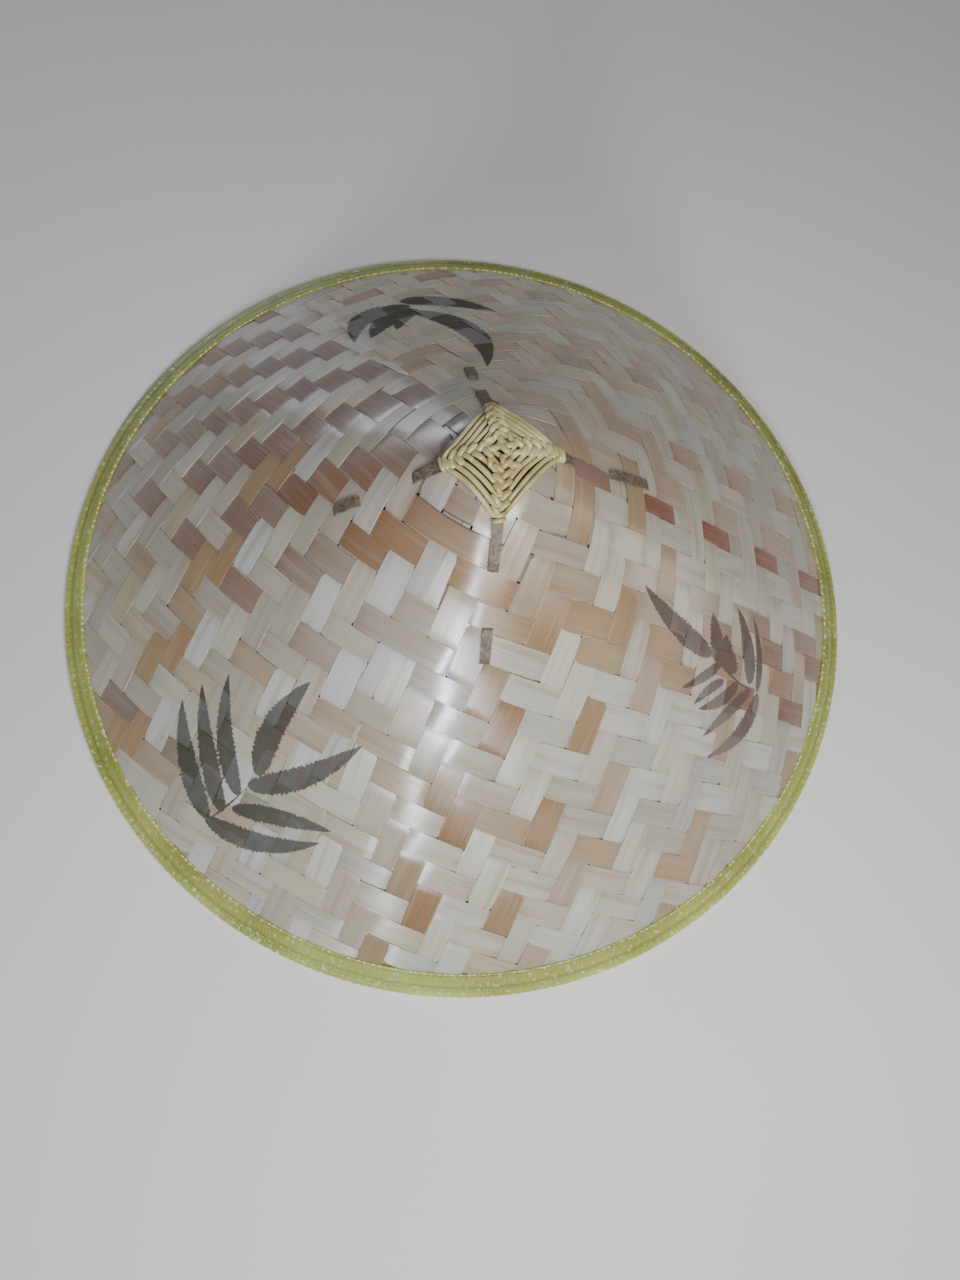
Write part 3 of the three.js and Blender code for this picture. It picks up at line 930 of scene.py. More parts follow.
@dataclass
class Weave:
    """The wall of interlaced splints, in millimetres.

    Spots on a splint are given on the flat mat: the distance from the apex along the sheaf's own line, and
    the distance past that line.
    """

    cone: ConeFace
    sheaves: tuple[Sheaf, Sheaf, Sheaf]
    finish: DriedBamboo
    thickness: float = 0.5
    play: float = 0.1
    gap: float = 0.12
    slit: float = 0.5
    slit_turn: float = 3.7
    slit_rate: float = 0.05
    slit_rareness: int = 6
    crown_slit: float = 0.8
    crown_always: float = 0.4
    crown_reach: float = 46.0
    dark_opening: float = 0.7
    corner: float = 1.0
    corner_length: float = 1.1
    corner_columns: int = 2
    corner_sizes: tuple[float, float] = (-0.1, 1.0)
    scan: float = 2.4
    scans: int = 110
    fewest_scans: int = 4
    step: float = 1.6
    dive: float = 3.2
    arch: float = 9.0
    arch_share: float = 0.4
    camber: float = 0.05
    rock: float = 0.13
    rock_rate: float = 0.11
    rock_shift: float = 6.0
    grain_shift: float = 40.0
    window_edge: float = math.pi / 2.6
    across: tuple[float, ...] = (0.0, 0.1, 0.5, 0.9, 1.0)
    narrowest: float = 1.2
    fade: float = 110.0
    rim_fade: tuple[float, float] = (-185.0, -95.0)
    rim_margin: float = 4.0
    mat_turn: float = 0.75

    @property
    def reach(self) -> float:
        """Distance from the apex to the splints' cut ends under the binding."""
        return self.cone.rim_distance - self.rim_margin

    def _is_over(self, number: int, index: int, out: float, along: float) -> bool:
        """Tell whether a splint lies over the one it crosses, in the two-over, two-under twill.

        Args:
            number: Which sheaf the splint is in.
            index: The splint's number.
            out: The spot's distance from the apex along the sheaf's own line.
            along: The spot's distance past that line, positive clockwise.

        Returns:
            True on the outer side.
        """
        sheaf = self.sheaves[number]
        if along > 0:
            crossed = self.sheaves[number - 1].splint_at(along, -out)
            return (crossed - index - sheaf.phase) % 4 < 2
        neighbour = self.sheaves[(number + 1) % 3]
        crossed = neighbour.splint_at(-along, out)
        return (index - crossed - neighbour.phase) % 4 >= 2

    def _parting(self, sheaf: Sheaf, index: int, along: float) -> tuple[float, float]:
        """Find how far two neighbouring splints have parted: they mostly touch, and gape near the crown.

        Args:
            sheaf: Their sheaf.
            index: Number of the outer one.
            along: Distance past the sheaf's own line.

        Returns:
            The width of the slit, and how dark it looks from 0 to 1.
        """
        opening = max(math.sin(index * self.slit_turn + along * self.slit_rate + sheaf.seed), 0.0)
        crown = math.exp(-((math.hypot(sheaf.line(index, along), along) / self.crown_reach) ** 2))
        rare = opening**self.slit_rareness
        width = self.gap + self.slit * rare + self.crown_slit * crown * (self.crown_always + rare)
        return width, crown * smooth_step(0.0, self.dark_opening, opening)

    def _edges(self, sheaf: Sheaf, index: int, along: float) -> tuple[float, float]:
        """Find both edges of a splint, cut off where another sheaf takes over.

        Args:
            sheaf: The splint's sheaf.
            index: The splint's number.
            along: Distance past the sheaf's own line.

        Returns:
            The nearer and the further edge.
        """
        near = sheaf.line(index, along) + self._parting(sheaf, index, along)[0] / 2
        far = sheaf.line(index + 1, along) - self._parting(sheaf, index + 1, along)[0] / 2
        return max(near, 0.0), max(far, 0.0)

    def _levels(self, number: int, index: int, spots: list[float]) -> list[float]:
        """Tell at many spots of a splint whether it lies outside.

        Args:
            number: Which sheaf the splint is in.
            index: The splint's number.
            spots: Distances past the sheaf's own line.

        Returns:
            For each spot 1 where it lies outside and 0 inside.
        """
        levels = []
        for spot in spots:
            near, far = self._edges(self.sheaves[number], index, spot)
            levels.append(float(self._is_over(number, index, (near + far) / 2, spot)))
        return levels

    def _span(self, sheaf: Sheaf, index: int) -> tuple[float, float] | None:
        """Find where a splint starts and ends.

        Args:
            sheaf: The splint's sheaf.
            index: The splint's number.

        Returns:
            The first and last distance past the sheaf's own line, or None if it has no length.
        """
        kept = []
        for part in range(-self.scans, self.scans + 1):
            along = part * self.scan
            near, far = self._edges(sheaf, index, along)
            if far - near > self.narrowest and math.hypot(near, along) < self.reach:
                kept.append(along)
        return (kept[0], kept[-1]) if len(kept) > self.fewest_scans else None

    def _splint(self, bm: bmesh.types.BMesh, number: int, index: int, source: random.Random) -> None:
        """Add one splint from rim to rim.

        The splint is one strip of faces, worked out in columns along it. Its level is read twice as finely
        and smoothed by a rounded window, a short one for the dive and a long one for the arch of a float.

        Args:
            bm: Mesh that takes it.
            number: Which sheaf it is in.
            index: Its number.
            source: Random numbers.
        """
        sheaf = self.sheaves[number]
        span = self._span(sheaf, index)
        if span is None:
            return
        start, end = span
        count = max(round((end - start) / self.step), 2)
        pad = round(self.arch / self.step * 2)
        fine = [mix(start, end, k / (2 * count)) for k in range(-pad, 2 * count + pad + 1)]
        levels = self._levels(number, index, fine)

        def eased(column: int, length: float) -> float:
            """Smooth the splint's level round a column.

            Args:
                column: Number of the column.
                length: Reach of the window to each side, along the splint.

            Returns:
                The level, from 0 inside to 1 outside.
            """
            half = max(round(length / self.step * 2), 1)
            weights = [math.cos(k / half * self.window_edge) for k in range(-half, half + 1)]
            first = 2 * column + pad - half
            return sum(weight * levels[first + k] for k, weight in enumerate(weights)) / sum(weights)

        heights = [mix(eased(i, self.dive), eased(i, self.arch), self.arch_share) for i in range(count + 1)]
        # Where a splint dives it draws in a little, which leaves a small hole at that corner of the twill.
        notches = [[0.0, 0.0] for _ in range(count + 1)]
        for k in range(1, len(levels)):
            if levels[k] == levels[k - 1]:
                continue
            middle = (k - 0.5 - pad) / 2
            sizes = [self.corner * source.uniform(*self.corner_sizes) for _ in range(2)]
            begin = max(math.ceil(middle - self.corner_columns), 0)
            stop = min(math.floor(middle + self.corner_columns), count)
            for column in range(begin, stop + 1):
                nearness = math.exp(-(((column - middle) * self.step / self.corner_length) ** 2))
                for side in range(2):
                    notches[column][side] = max(notches[column][side], sizes[side] * nearness)
        shift = source.uniform(0, self.grain_shift)
        wave = source.uniform(0, self.rock_shift)
        faces = len(self.across) - 1

        def place(first: float, second: float) -> Vector:
            """Place a point of the splint.

            Args:
                first: Share along it.
                second: Share across it.

            Returns:
                The point in metres.
            """
            along = mix(start, end, first)
            column = round(first * count)
            share = self.across[round(second * faces)]
            near, far = self._edges(sheaf, index, along)
            near = min(near + notches[column][0] * (near > 0), far)
            out = mix(near, max(far - notches[column][1], near), share)
            distance = min(math.hypot(out, along), self.reach)
            azimuth = math.radians(sheaf.line_deg) - math.atan2(along, out) / self.mat_turn
            sunk = (self.thickness + self.play) * (heights[column] - 1)
            lean = 2 * share - 1
            bow = self.rock * lean * math.sin(along * self.rock_rate + wave) - self.camber * lean**2
            return self.cone.point(azimuth, distance, sunk + bow)

        def uv_of(first: float, second: float) -> tuple[float, float]:
            """Run in metres along the splint, and from 0 to 1 across it."""
            return mix(start, end, first) * MM + shift, self.across[round(second * faces)]

        made = mapped_grid(bm, count, faces, place, uv_of)
        colour_layer = bm.verts.layers.float_color["splint_colour"]
        sunk_layer = bm.verts.layers.float["sunk"]
        parted_layer = bm.verts.layers.float["parted"]
        palette = self.finish.palette
        chosen = sheaf.colours.get(index) or (source.choice(palette), source.choice(palette))
        first, last = (Vector(linear(colour)) for colour in chosen)
        rim = Vector(linear(sheaf.rim_colours.get(index, chosen[0])))
        for i, vert in enumerate(made):
            column = i % (count + 1)
            along = mix(start, end, column / count)
            outer = index + (i // (count + 1) > faces // 2)
            inner = first.lerp(last, smooth_step(-self.fade, self.fade, along))
            vert[colour_layer] = rim.lerp(inner, smooth_step(*self.rim_fade, along))
            vert[sunk_layer] = 1 - heights[column]
            vert[parted_layer] = self._parting(sheaf, outer, along)[1]

    def build(self) -> list[bpy.types.Object]:
        """Make one piece for each sheaf.

        Returns:
            The pieces.
        """
        faces = [self.finish.material(face) for face in Face]
        pieces = []
        for number, sheaf in enumerate(self.sheaves):
            source = random.Random(sheaf.seed)
            bm = bmesh.new()
            bm.verts.layers.float_color.new("splint_colour")
            bm.verts.layers.float.new("sunk")
            bm.verts.layers.float.new("parted")
            for index in range(sheaf.first, sheaf.count):
                self._splint(bm, number, index, source)
            # The cut edges of a splint are sharp, so that they don't shade as if they were rounded.
            for edge in bm.edges:
                edge.smooth = not edge.is_boundary
            piece = finished_piece(bm, sheaf.name, faces, "bamboo_splint", "woven_shell")
            shell = piece.modifiers.new("thickness", "SOLIDIFY")
            shell.thickness = self.thickness * MM
            shell.offset = -1
            shell.material_offset = Face.INNER.value
            shell.material_offset_rim = Face.OUTER.value
            pieces.append(piece)
        return pieces


@dataclass
class Binding:
    """The braid folded over the rim, in millimetres."""

    cone: ConeFace
    finish: StrawBraid
    stitch_finish: PlantFibre
    width: float = 13.0
    flange: float = 1.0
    groove: float = 0.7
    lip: float = 0.5
    clearance: float = 0.3
    plait: float = 3.9
    relief: float = 0.22
    ripple: float = 0.08
    ripples: tuple[int, int] = (2, 6)
    drifts: tuple[tuple[float, int], ...] = ((0.22, 41), (0.15, 97))
    rows_to_a_plait: float = 9.0
    crown: float = 0.25
    deep_shade: float = 0.5
    lip_shade: float = 0.2
    flange_shade: float = 0.12
    edge_shade: float = 0.25
    groove_shade: float = 0.2
    bead_shade: float = 0.4
    shade_power: int = 6
    around: int = 1940
    bead_steps: int = 18
    flange_steps: int = 5
    fade_rows: int = 2
    weld: float = 0.001
    cord_size: float = 0.65
    cord_swell: float = 0.18
    cord_out: float = 0.25
    cord_seat: float = 0.2
    cord_steps: tuple[int, int] = (720, 6)
    stitch_every: float = 3.4
    stitch_rise: float = 0.35
    stitch_size: tuple[float, float] = (1.3, 0.6)
    stitch_lengths: tuple[float, float] = (0.6, 1.1)
    stitch_stray: float = 0.3
    stitch_turn: float = 0.3
    missing_stitches: float = 0.2
    seed: int = 11

    def _profile(self) -> list[tuple[float, float, float]]:
        """List the section of the braid, from its upper free edge over the bead to its lower one.

        The painted shade is deepest at the free edge and in the groove beside the bead, where the braid lies
        in shadow.

        Returns:
            Radius, height and share of shade of each point.
        """
        cone = self.cone
        inner = cone.wall / 2 + self.clearance
        outer = inner + self.flange
        free = cone.bead_radius - self.width
        groove = -cone.bead_radius
        upper = [
            (*cone.edge_point(free, inner), self.deep_shade),
            (*cone.edge_point(free, outer - self.lip), self.lip_shade),
        ]
        for i in range(self.flange_steps + 1):
            share = i / self.flange_steps
            rise = self.crown * math.sin(math.pi * share)
            spot = cone.edge_point(mix(free + self.lip, groove - 2 * self.lip, share), outer + rise)
            shade = self.flange_shade + self.edge_shade * (1 - share) ** 2
            shade += self.groove_shade * share**self.shade_power
            upper.append((*spot, shade))
        upper.append((*cone.edge_point(groove, inner + self.groove), self.deep_shade))
        shoulder = math.acos((inner + self.groove) / cone.bead_radius)
        start = math.pi / 2 - cone.slope + shoulder
        end = -math.pi / 2 - cone.slope - shoulder
        radius, height = cone.bead_centre
        bead = []
        for i in range(1, self.bead_steps):
            share = i / self.bead_steps
            angle = mix(start, end, share)
            spot = height + cone.bead_radius * math.sin(angle)
            shade = self.bead_shade * abs(2 * share - 1) ** self.shade_power
            bead.append((radius + cone.bead_radius * math.cos(angle), max(spot, 0.0), shade))
        lower = []
        for reach, rise, shade in reversed(upper):
            along = (reach - radius) * math.cos(cone.slope) - (rise - height) * math.sin(cone.slope)
            out = (reach - radius) * math.sin(cone.slope) + (rise - height) * math.cos(cone.slope)
            lower.append((*cone.edge_point(along, -out), shade))
        return upper + bead + lower

    def build(self) -> list[bpy.types.Object]:
        """Make the braid and its stitched edge.

        Returns:
            The pieces.
        """
        profile = self._profile()
        last = len(profile) - 1
        # Number of the point in the upper groove, after which the bead starts.
        edge = self.flange_steps + 3
        radius, height = self.cone.bead_centre
        plaits = round(2 * math.pi * self.cone.rim_radius / self.plait)

        def place(first: float, second: float) -> Vector:
            """Place a point of the braid.

            Args:
                first: Share round the rim, clockwise.
                second: Share of the section, from its upper free edge to its lower one.

            Returns:
                The point in metres.
            """
            row = round(second * last)
            reach, rise, _ = profile[row]
            rows_in = min(max(row - edge, 0), max(last - edge - row, 0), self.fade_rows)
            on_bead = rows_in / self.fade_rows
            across = (row - edge) / self.bead_steps
            drift = sum(size * math.sin(first * 2 * math.pi * waves) for size, waves in self.drifts)
            strands = [math.cos(2 * math.pi * (first * plaits + drift + side * across)) for side in (-1, 1)]
            out = Vector((reach - radius, rise - height)).normalized()
            swell = self.relief * (max(strands) - 1) * on_bead
            rippled = first * plaits * self.ripples[0] + across * self.ripples[1]
            swell += self.ripple * math.sin(2 * math.pi * rippled) * (1 - on_bead)
            angle = -2 * math.pi * first
            reach += out.x * swell
            rise = max(rise + out.y * swell, 0.0)
            return Vector((reach * math.cos(angle), reach * math.sin(angle), rise)) * MM

        bm = bmesh.new()
        shade = bm.verts.layers.float.new("shade")

        def uv_of(first: float, second: float) -> tuple[float, float]:
            """Count in plaits, along the rim and across the section."""
            return first * plaits, second * last / self.rows_to_a_plait

        made = mapped_grid(bm, self.around, last, place, uv_of)
        for i, vert in enumerate(made):
            vert[shade] = profile[i // (self.around + 1)][2]
        bmesh.ops.remove_doubles(bm, verts=made, dist=self.weld * MM)
        bmesh.ops.recalc_face_normals(bm, faces=bm.faces)
        braid = finished_piece(bm, "rim_braid", [self.finish.material()], "edge_braid", "rim_binding")
        return [braid, *self._selvedge()]

    def _selvedge(self) -> list[bpy.types.Object]:
        """Make the corded edge of the braid and the pale stitches over it.

        Returns:
            The cord and the stitches.
        """
        free = self.cone.bead_radius - self.width
        reach, rise = self.cone.edge_point(free - self.cord_out, self.cone.wall / 2 + self.cord_seat)
        count = round(2 * math.pi * reach / self.stitch_every)
        source = random.Random(self.seed)
        bm = bmesh.new()

        def cord(first: float, second: float) -> Vector:
            """Place a point of the cord, which swells twice for every stitch.

            Args:
                first: Share round the rim.
                second: Share round the cord's section.

            Returns:
                The point in metres.
            """
            angle = 2 * math.pi * first
            turn = 2 * math.pi * second
            size = self.cord_size * (1 + self.cord_swell * math.sin(count * 2 * angle))
            far = reach + size * math.cos(turn)
            return Vector((far * math.cos(angle), far * math.sin(angle), rise + size * math.sin(turn))) * MM

        made = mapped_grid(bm, *self.cord_steps, cord, lambda first, second: (first * count, second))
        bmesh.ops.remove_doubles(bm, verts=made, dist=self.weld * MM)
        bmesh.ops.recalc_face_normals(bm, faces=bm.faces)
        edge = finished_piece(bm, "selvedge_cord", [self.finish.material()], "edge_braid")
        bm = bmesh.new()
        for i in range(count):
            if source.random() < self.missing_stitches:
                continue
            angle = 2 * math.pi * (i + source.uniform(-self.stitch_stray, self.stitch_stray)) / count
            length, thick = self.stitch_size
            made = bmesh.ops.create_icosphere(bm, subdivisions=1, radius=1.0)["verts"]
            long = length * source.uniform(*self.stitch_lengths)
            size = Matrix.Diagonal((thick, long, thick, 1)).to_4x4()
            spot = Vector((reach * math.cos(angle), reach * math.sin(angle), rise + self.stitch_rise))
            turned = angle + source.uniform(-self.stitch_turn, self.stitch_turn)
            turn = Matrix.Rotation(turned, 4, "Z")
            placed = Matrix.Scale(MM, 4) @ Matrix.Translation(spot) @ turn @ size
            bmesh.ops.transform(bm, matrix=placed, verts=made)
        bmesh.ops.recalc_face_normals(bm, faces=bm.faces)
        return [edge, finished_piece(bm, "selvedge_stitches", [self.stitch_finish.material()], "edge_braid")]


@dataclass(frozen=True)
class Arm:
    """One arm of the crossed slats, and the wraps of rattan round it. Lengths are in millimetres.

    The strands of a side run from its arm to the next one counter-clockwise.
    """

    azimuth_deg: float
    reach: float
    wrap_start: float
    wraps: int
    wrap_girth: float
    strand: float


@dataclass
class Ornament:
    """The four-cornered rattan lashing on the crossed slats, in millimetres.

    Its strands run from arm to arm in rounds that get smaller, so they cross at the arms. Short plait ends
    cover the crossings and the middle, and wraps round the arms close the corners.
    """

    cone: ConeFace
    finish: RattanStrand
    core_finish: PlantFibre
    arms: tuple[Arm, Arm, Arm, Arm] = (
        Arm(24.0, 23.9, 14.5, 6, 3.0, 0.92),
        Arm(112.5, 22.7, 18.6, 3, 2.5, 0.8),
        Arm(200.7, 22.3, 18.4, 2, 2.6, 1.08),
        Arm(282.3, 24.0, 20.0, 2, 2.1, 0.96),
    )
    bow: float = 0.9
    side: float = 2.7
    top: float = 6.0
    fall_power: float = 1.5
    blur_deg: float = 9.0
    blur_steps: int = 3
    sides: int = 8
    end_steps: float = 1.5
    weld: float = 0.002
    row_pitch: float = 3.2
    rows: int = 7
    overlap_deg: float = 7.0
    row_overlap_deg: float = 3.2
    overlap_stray_deg: float = 2.0
    tail_share: float = 0.6
    sway: float = 0.2
    sway_rate: float = 5.0
    sway_shift: float = 6.0
    under: float = 0.9
    under_until: float = 0.24
    over: float = 0.9
    over_range: tuple[float, float] = (0.72, 0.9)
    dive: float = 1.5
    dive_from: float = 0.95
    flatness: float = 0.82
    strand_sizes: tuple[float, float] = (0.92, 1.06)
    strand_steps: int = 44
    fewest_steps: int = 14
    core_margin: float = 0.9
    core_depth: float = 2.3
    core_lip: float = 0.4
    core_floor: float = 0.3
    core_power: int = 6
    core_pole: float = 0.001
    core_steps: tuple[int, int] = (72, 24)
    core_weld: float = 0.005
    ear_length: float = 4.9
    ear_width: float = 2.4
    ear_height: float = 1.7
    ear_bend: float = 1.1
    ear_rise: float = 0.35
    ear_turn_deg: float = 48.0
    ear_aside: float = 1.35
    ear_stray: float = 0.2
    ear_turn_stray_deg: float = 10.0
    ear_sizes: tuple[float, float] = (0.9, 1.08)
    ear_steps: int = 10
    ears_from_row: float = 1.6
    ears_to_a_row: int = 2
    centre_turn_deg: float = 155.0
    centre_sink: float = 0.1
    centre_size: float = 1.15
    middle_ears: int = 9
    middle_ring: float = 2.6
    middle_step: float = 0.5
    middle_start_deg: float = 40.0
    middle_skip: int = 2
    middle_turns_deg: tuple[float, float] = (24.0, 112.0)
    middle_stray_deg: float = 14.0
    middle_lifts: tuple[float, float] = (-0.1, 0.3)
    middle_sizes: tuple[float, float] = (0.9, 1.1)
    knot_size: tuple[float, float] = (0.95, 0.85)
    knot_end: float = 0.7
    knot_taper: float = 0.78
    knot_lift: float = 2.1
    knot_height: float = 1.5
    knot_seat: float = 0.9
    knot_steps: int = 18
    seed: int = 21

    def corner(self, number: int) -> Vector:
        """Find a corner of the lashing, seen from above.

        Args:
            number: Number of the arm.

        Returns:
            The corner.
        """
        arm = self.arms[number % 4]
        angle = math.radians(arm.azimuth_deg)
        return Vector((math.cos(angle), math.sin(angle))) * arm.reach

    def outline(self, azimuth_deg: float) -> float:
        """Find how far the lashing reaches in a direction.

        Args:
            azimuth_deg: Direction from the axis.

        Returns:
            Radius seen from above.
        """
        turned = (azimuth_deg - self.arms[0].azimuth_deg) % 360 + self.arms[0].azimuth_deg
        number = max(i for i in range(4) if self.arms[i].azimuth_deg <= turned)
        start = self.corner(number)
        side = self.corner(number + 1) - start
        way = Vector((math.cos(math.radians(turned)), math.sin(math.radians(turned))))
        share = -way.cross(start) / way.cross(side)
        return (start + side * share).length - self.bow * 4 * share * (1 - share)

    def rounded(self, azimuth_deg: float) -> float:
        """Find the outline with its corners softened.

        Args:
            azimuth_deg: Direction from the axis.

        Returns:
            Radius seen from above.
        """
        parts = range(-self.blur_steps, self.blur_steps + 1)
        spots = [azimuth_deg + self.blur_deg * part / self.blur_steps for part in parts]
        return sum(self.outline(spot) for spot in spots) / len(spots)

    def lift(self, radius: float) -> float:
        """Find the height of the lashing's surface off the wall.

        Args:
            radius: Radius seen from above.

        Returns:
            The height.
        """
        share = min(radius / self.arms[0].reach, 1.0)
        return mix(self.top, self.side, share**self.fall_power)

    def tube(
        self, bm: bmesh.types.BMesh, path: Callable[[float], Vector], count: int, wide: float, high: float
    ) -> None:
        """Sweep an oval section with rounded ends along a path.

        Args:
            bm: Mesh that takes the tube.
            path: Gives the centre, in metres, for a share from 0 to 1.
            count: Steps along the path.
            wide: Half width of the section.
            high: Half height of the section.
        """
        small = 0.5 / count

        def place(first: float, second: float) -> Vector:
            """Place a point of the tube.

            Args:
                first: Share along the path.
                second: Share round the section.

            Returns:
                The point in metres.
            """
            middle = path(first)
            heading = (path(first + small) - path(first - small)).normalized()
            aside = heading.cross(Vector((0, 0, 1))).normalized()
            over = aside.cross(heading)
            from_end = min(first, 1 - first) * count
            end = math.sin(math.pi / 2 * min(from_end / self.end_steps, 1.0))
            turn = 2 * math.pi * second
            return middle + (aside * math.cos(turn) * wide + over * math.sin(turn) * high) * MM * end

        length = sum((path((i + 1) / count) - path(i / count)).length for i in range(count))
        made = mapped_grid(bm, count, self.sides, place, lambda first, second: (first * length, second))
        bmesh.ops.remove_doubles(bm, verts=made, dist=self.weld * MM)

    def _strand(self, bm: bmesh.types.BMesh, number: int, row: int, source: random.Random) -> None:
        """Add one strand of a side: it starts under the strand before it and ends over the next arm.

        Args:
            bm: Mesh that takes it.
            number: Number of the arm that it starts from.
            row: Its number from the outside.
            source: Random numbers.
        """
        arm = self.arms[number]
        after = self.arms[(number + 1) % 4].azimuth_deg
        span = (after - arm.azimuth_deg) % 360
        scale = 1 - (row * self.row_pitch + arm.strand) / self.arms[0].reach
        extra = self.overlap_deg + self.row_overlap_deg * row + source.uniform(0, self.overlap_stray_deg)
        wave = source.uniform(0, self.sway_shift)

        def path(share: float) -> Vector:
            """Follow the middle of the strand.

            Args:
                share: Share along it.

            Returns:
                The point in metres.
            """
            turn = mix(-extra * self.tail_share, span + extra, share)
            azimuth = arm.azimuth_deg + turn
            swayed = self.sway * math.sin(self.sway_rate * share + wave)
            radius = self.rounded(azimuth) * scale + swayed
            sink = self.under * smooth_step(self.under_until, 0.0, share)
            rise = self.over * smooth_step(*self.over_range, share)
            rise -= self.dive * smooth_step(self.dive_from, 1.0, share)
            lift = self.lift(radius) - arm.strand - sink + rise
            angle = math.radians(azimuth)
            return self.cone.plan_point(radius * math.cos(angle), radius * math.sin(angle), lift)

        steps = max(round(self.strand_steps * scale), self.fewest_steps)
        wide = arm.strand * source.uniform(*self.strand_sizes)
        self.tube(bm, path, steps, wide, arm.strand * self.flatness)

    def _ear(
        self, bm: bmesh.types.BMesh, x: float, y: float, heading_deg: float, lift: float, size: float
    ) -> None:
        """Add one short plait end, like a grain in an ear of wheat.

        Args:
            bm: Mesh that takes it.
            x: Its middle along X.
            y: Its middle along Y.
            heading_deg: Its direction seen from above.
            lift: Height of its middle off the wall.
            size: Share of the usual size.
        """
        heading = Vector((math.cos(math.radians(heading_deg)), math.sin(math.radians(heading_deg))))

        def path(share: float) -> Vector:
            """Follow the middle of the plait end, which bends down at both ends.

            Args:
                share: Share along it.

            Returns:
                The point in metres.
            """
            along = (share - 0.5) * self.ear_length * size
            bend = -self.ear_bend * (2 * share - 1) ** 2
            return self.cone.plan_point(x + heading.x * along, y + heading.y * along, lift + bend)

        self.tube(bm, path, self.ear_steps, self.ear_width / 2 * size, self.ear_height / 2)

    def _ears(self, bm: bmesh.types.BMesh, source: random.Random) -> None:
        """Add the plait ends over the middle and beside the arms.

        Args:
            bm: Mesh that takes them.
            source: Random numbers.
        """
        self._ear(bm, 0.0, 0.0, self.centre_turn_deg, self.top - self.centre_sink, self.centre_size)
        for number in range(self.middle_ears):
            ring = self.middle_ring + self.middle_step * number
            turned = 360 / self.middle_ears * number * self.middle_skip + self.middle_start_deg
            angle = math.radians(turned)
            stray = source.uniform(-self.middle_stray_deg, self.middle_stray_deg)
            heading = self.middle_turns_deg[number % 2] + stray
            lift = self.lift(ring) + source.uniform(*self.middle_lifts)
            x = ring * math.cos(angle)
            y = ring * math.sin(angle)
            self._ear(bm, x, y, heading, lift, source.uniform(*self.middle_sizes))
        for arm in self.arms:
            angle = math.radians(arm.azimuth_deg)
            radius = self.row_pitch * self.ears_from_row
            side = 1
            while radius < arm.wrap_start:
                aside = side * (self.ear_aside + source.uniform(-self.ear_stray, self.ear_stray))
                x = radius * math.cos(angle) - aside * math.sin(angle)
                y = radius * math.sin(angle) + aside * math.cos(angle)
                stray = source.uniform(-self.ear_turn_stray_deg, self.ear_turn_stray_deg)
                turn = arm.azimuth_deg - side * self.ear_turn_deg + stray
                lift = self.lift(radius) + self.ear_rise
                self._ear(bm, x, y, turn, lift, source.uniform(*self.ear_sizes))
                radius += self.row_pitch / self.ears_to_a_row
                side = -side

    def _knot(self, bm: bmesh.types.BMesh, arm: Arm) -> None:
        """Add the wraps round an arm at a corner.

        Args:
            bm: Mesh that takes them.
            arm: The arm.
        """
        angle = math.radians(arm.azimuth_deg)

        def path(share: float) -> Vector:
            """Follow the wraps out along the arm.

            Args:
                share: Share along them.

            Returns:
                The point in metres.
            """
            radius = mix(arm.wrap_start, arm.reach - self.knot_end, share)
            turn = 2 * math.pi * arm.wraps * share - math.pi / 2
            taper = mix(1.0, self.knot_taper, share**2)
            aside = arm.wrap_girth * taper * math.cos(turn)
            lift = self.knot_lift + self.knot_height * taper * math.sin(turn)
            x = radius * math.cos(angle) - aside * math.sin(angle)
            y = radius * math.sin(angle) + aside * math.cos(angle)
            return self.cone.plan_point(x, y, max(lift, self.knot_seat))

        self.tube(bm, path, arm.wraps * self.knot_steps, *self.knot_size)

    def build(self) -> list[bpy.types.Object]:
        """Make the strands, plait ends, corner wraps and the core, which is coloured as painted shade.

        Returns:
            The pieces.
        """
        source = random.Random(self.seed)
        bm = bmesh.new()
        for row in range(self.rows):
            for number in range(4):
                self._strand(bm, number, row, source)
        self._ears(bm, source)
        for arm in self.arms:
            self._knot(bm, arm)
        bmesh.ops.recalc_face_normals(bm, faces=bm.faces)
        strands = finished_piece(bm, "rattan_lashing", [self.finish.material()], "rattan", "apex_ornament")
        return [strands, self._core()]

    def _core(self) -> bpy.types.Object:
        """Make the closed cushion that shows between the strands, coloured near black as painted shade.

        Returns:
            The piece.
        """
        bm = bmesh.new()

        def place(first: float, second: float) -> Vector:
            """Place a point of the cushion, whose upper face comes first.

            Args:
                first: Share round it.
                second: Share of the way from the top's middle over the edge to the bottom's middle.

            Returns:
                The point in metres.
            """
            azimuth = 360 * first
            share = 1 - abs(2 * second - 1)
            radius = max(self.rounded(azimuth) * self.core_margin * share, self.core_pole)
            angle = math.radians(azimuth)
            top = self.lift(radius) - self.core_depth
            crowned = mix(self.core_lip, top, 1 - share**self.core_power)
            lift = crowned if second < 0.5 else self.core_floor
            return self.cone.plan_point(radius * math.cos(angle), radius * math.sin(angle), lift)

        made = mapped_grid(bm, *self.core_steps, place, lambda first, second: (first, second))
        bmesh.ops.remove_doubles(bm, verts=made, dist=self.core_weld * MM)
        bmesh.ops.recalc_face_normals(bm, faces=bm.faces)
        return finished_piece(bm, "lashing_core", [self.core_finish.material()], "rattan")


@dataclass(frozen=True)
class CrossSlats:
    """The two smoked bamboo slats under the lashing, as CAD nodes and their directions from above."""

    finish: PlantFibre
    turns: tuple[tuple[str, float], ...] = (
        ("cross_slat_lower", 22.3),
        ("cross_slat_upper", -72.6),
    )

    def dress(self) -> None:
        """Give each slat its smoked finish, streaked along it."""
        for node, turn_deg in self.turns:
            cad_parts[node].material_slots[0].material = self.finish.material(turn_deg)
            LOG.info("%s: dressed", node)


@dataclass(frozen=True)
class Lamp:
    """One soft light that looks at the hat. Angles are in degrees and lengths in metres."""

    name: str
    azimuth_deg: float
    elevation_deg: float
    distance: float
    width: float
    height: float
    power: float
    colour: str = "#ffffff"


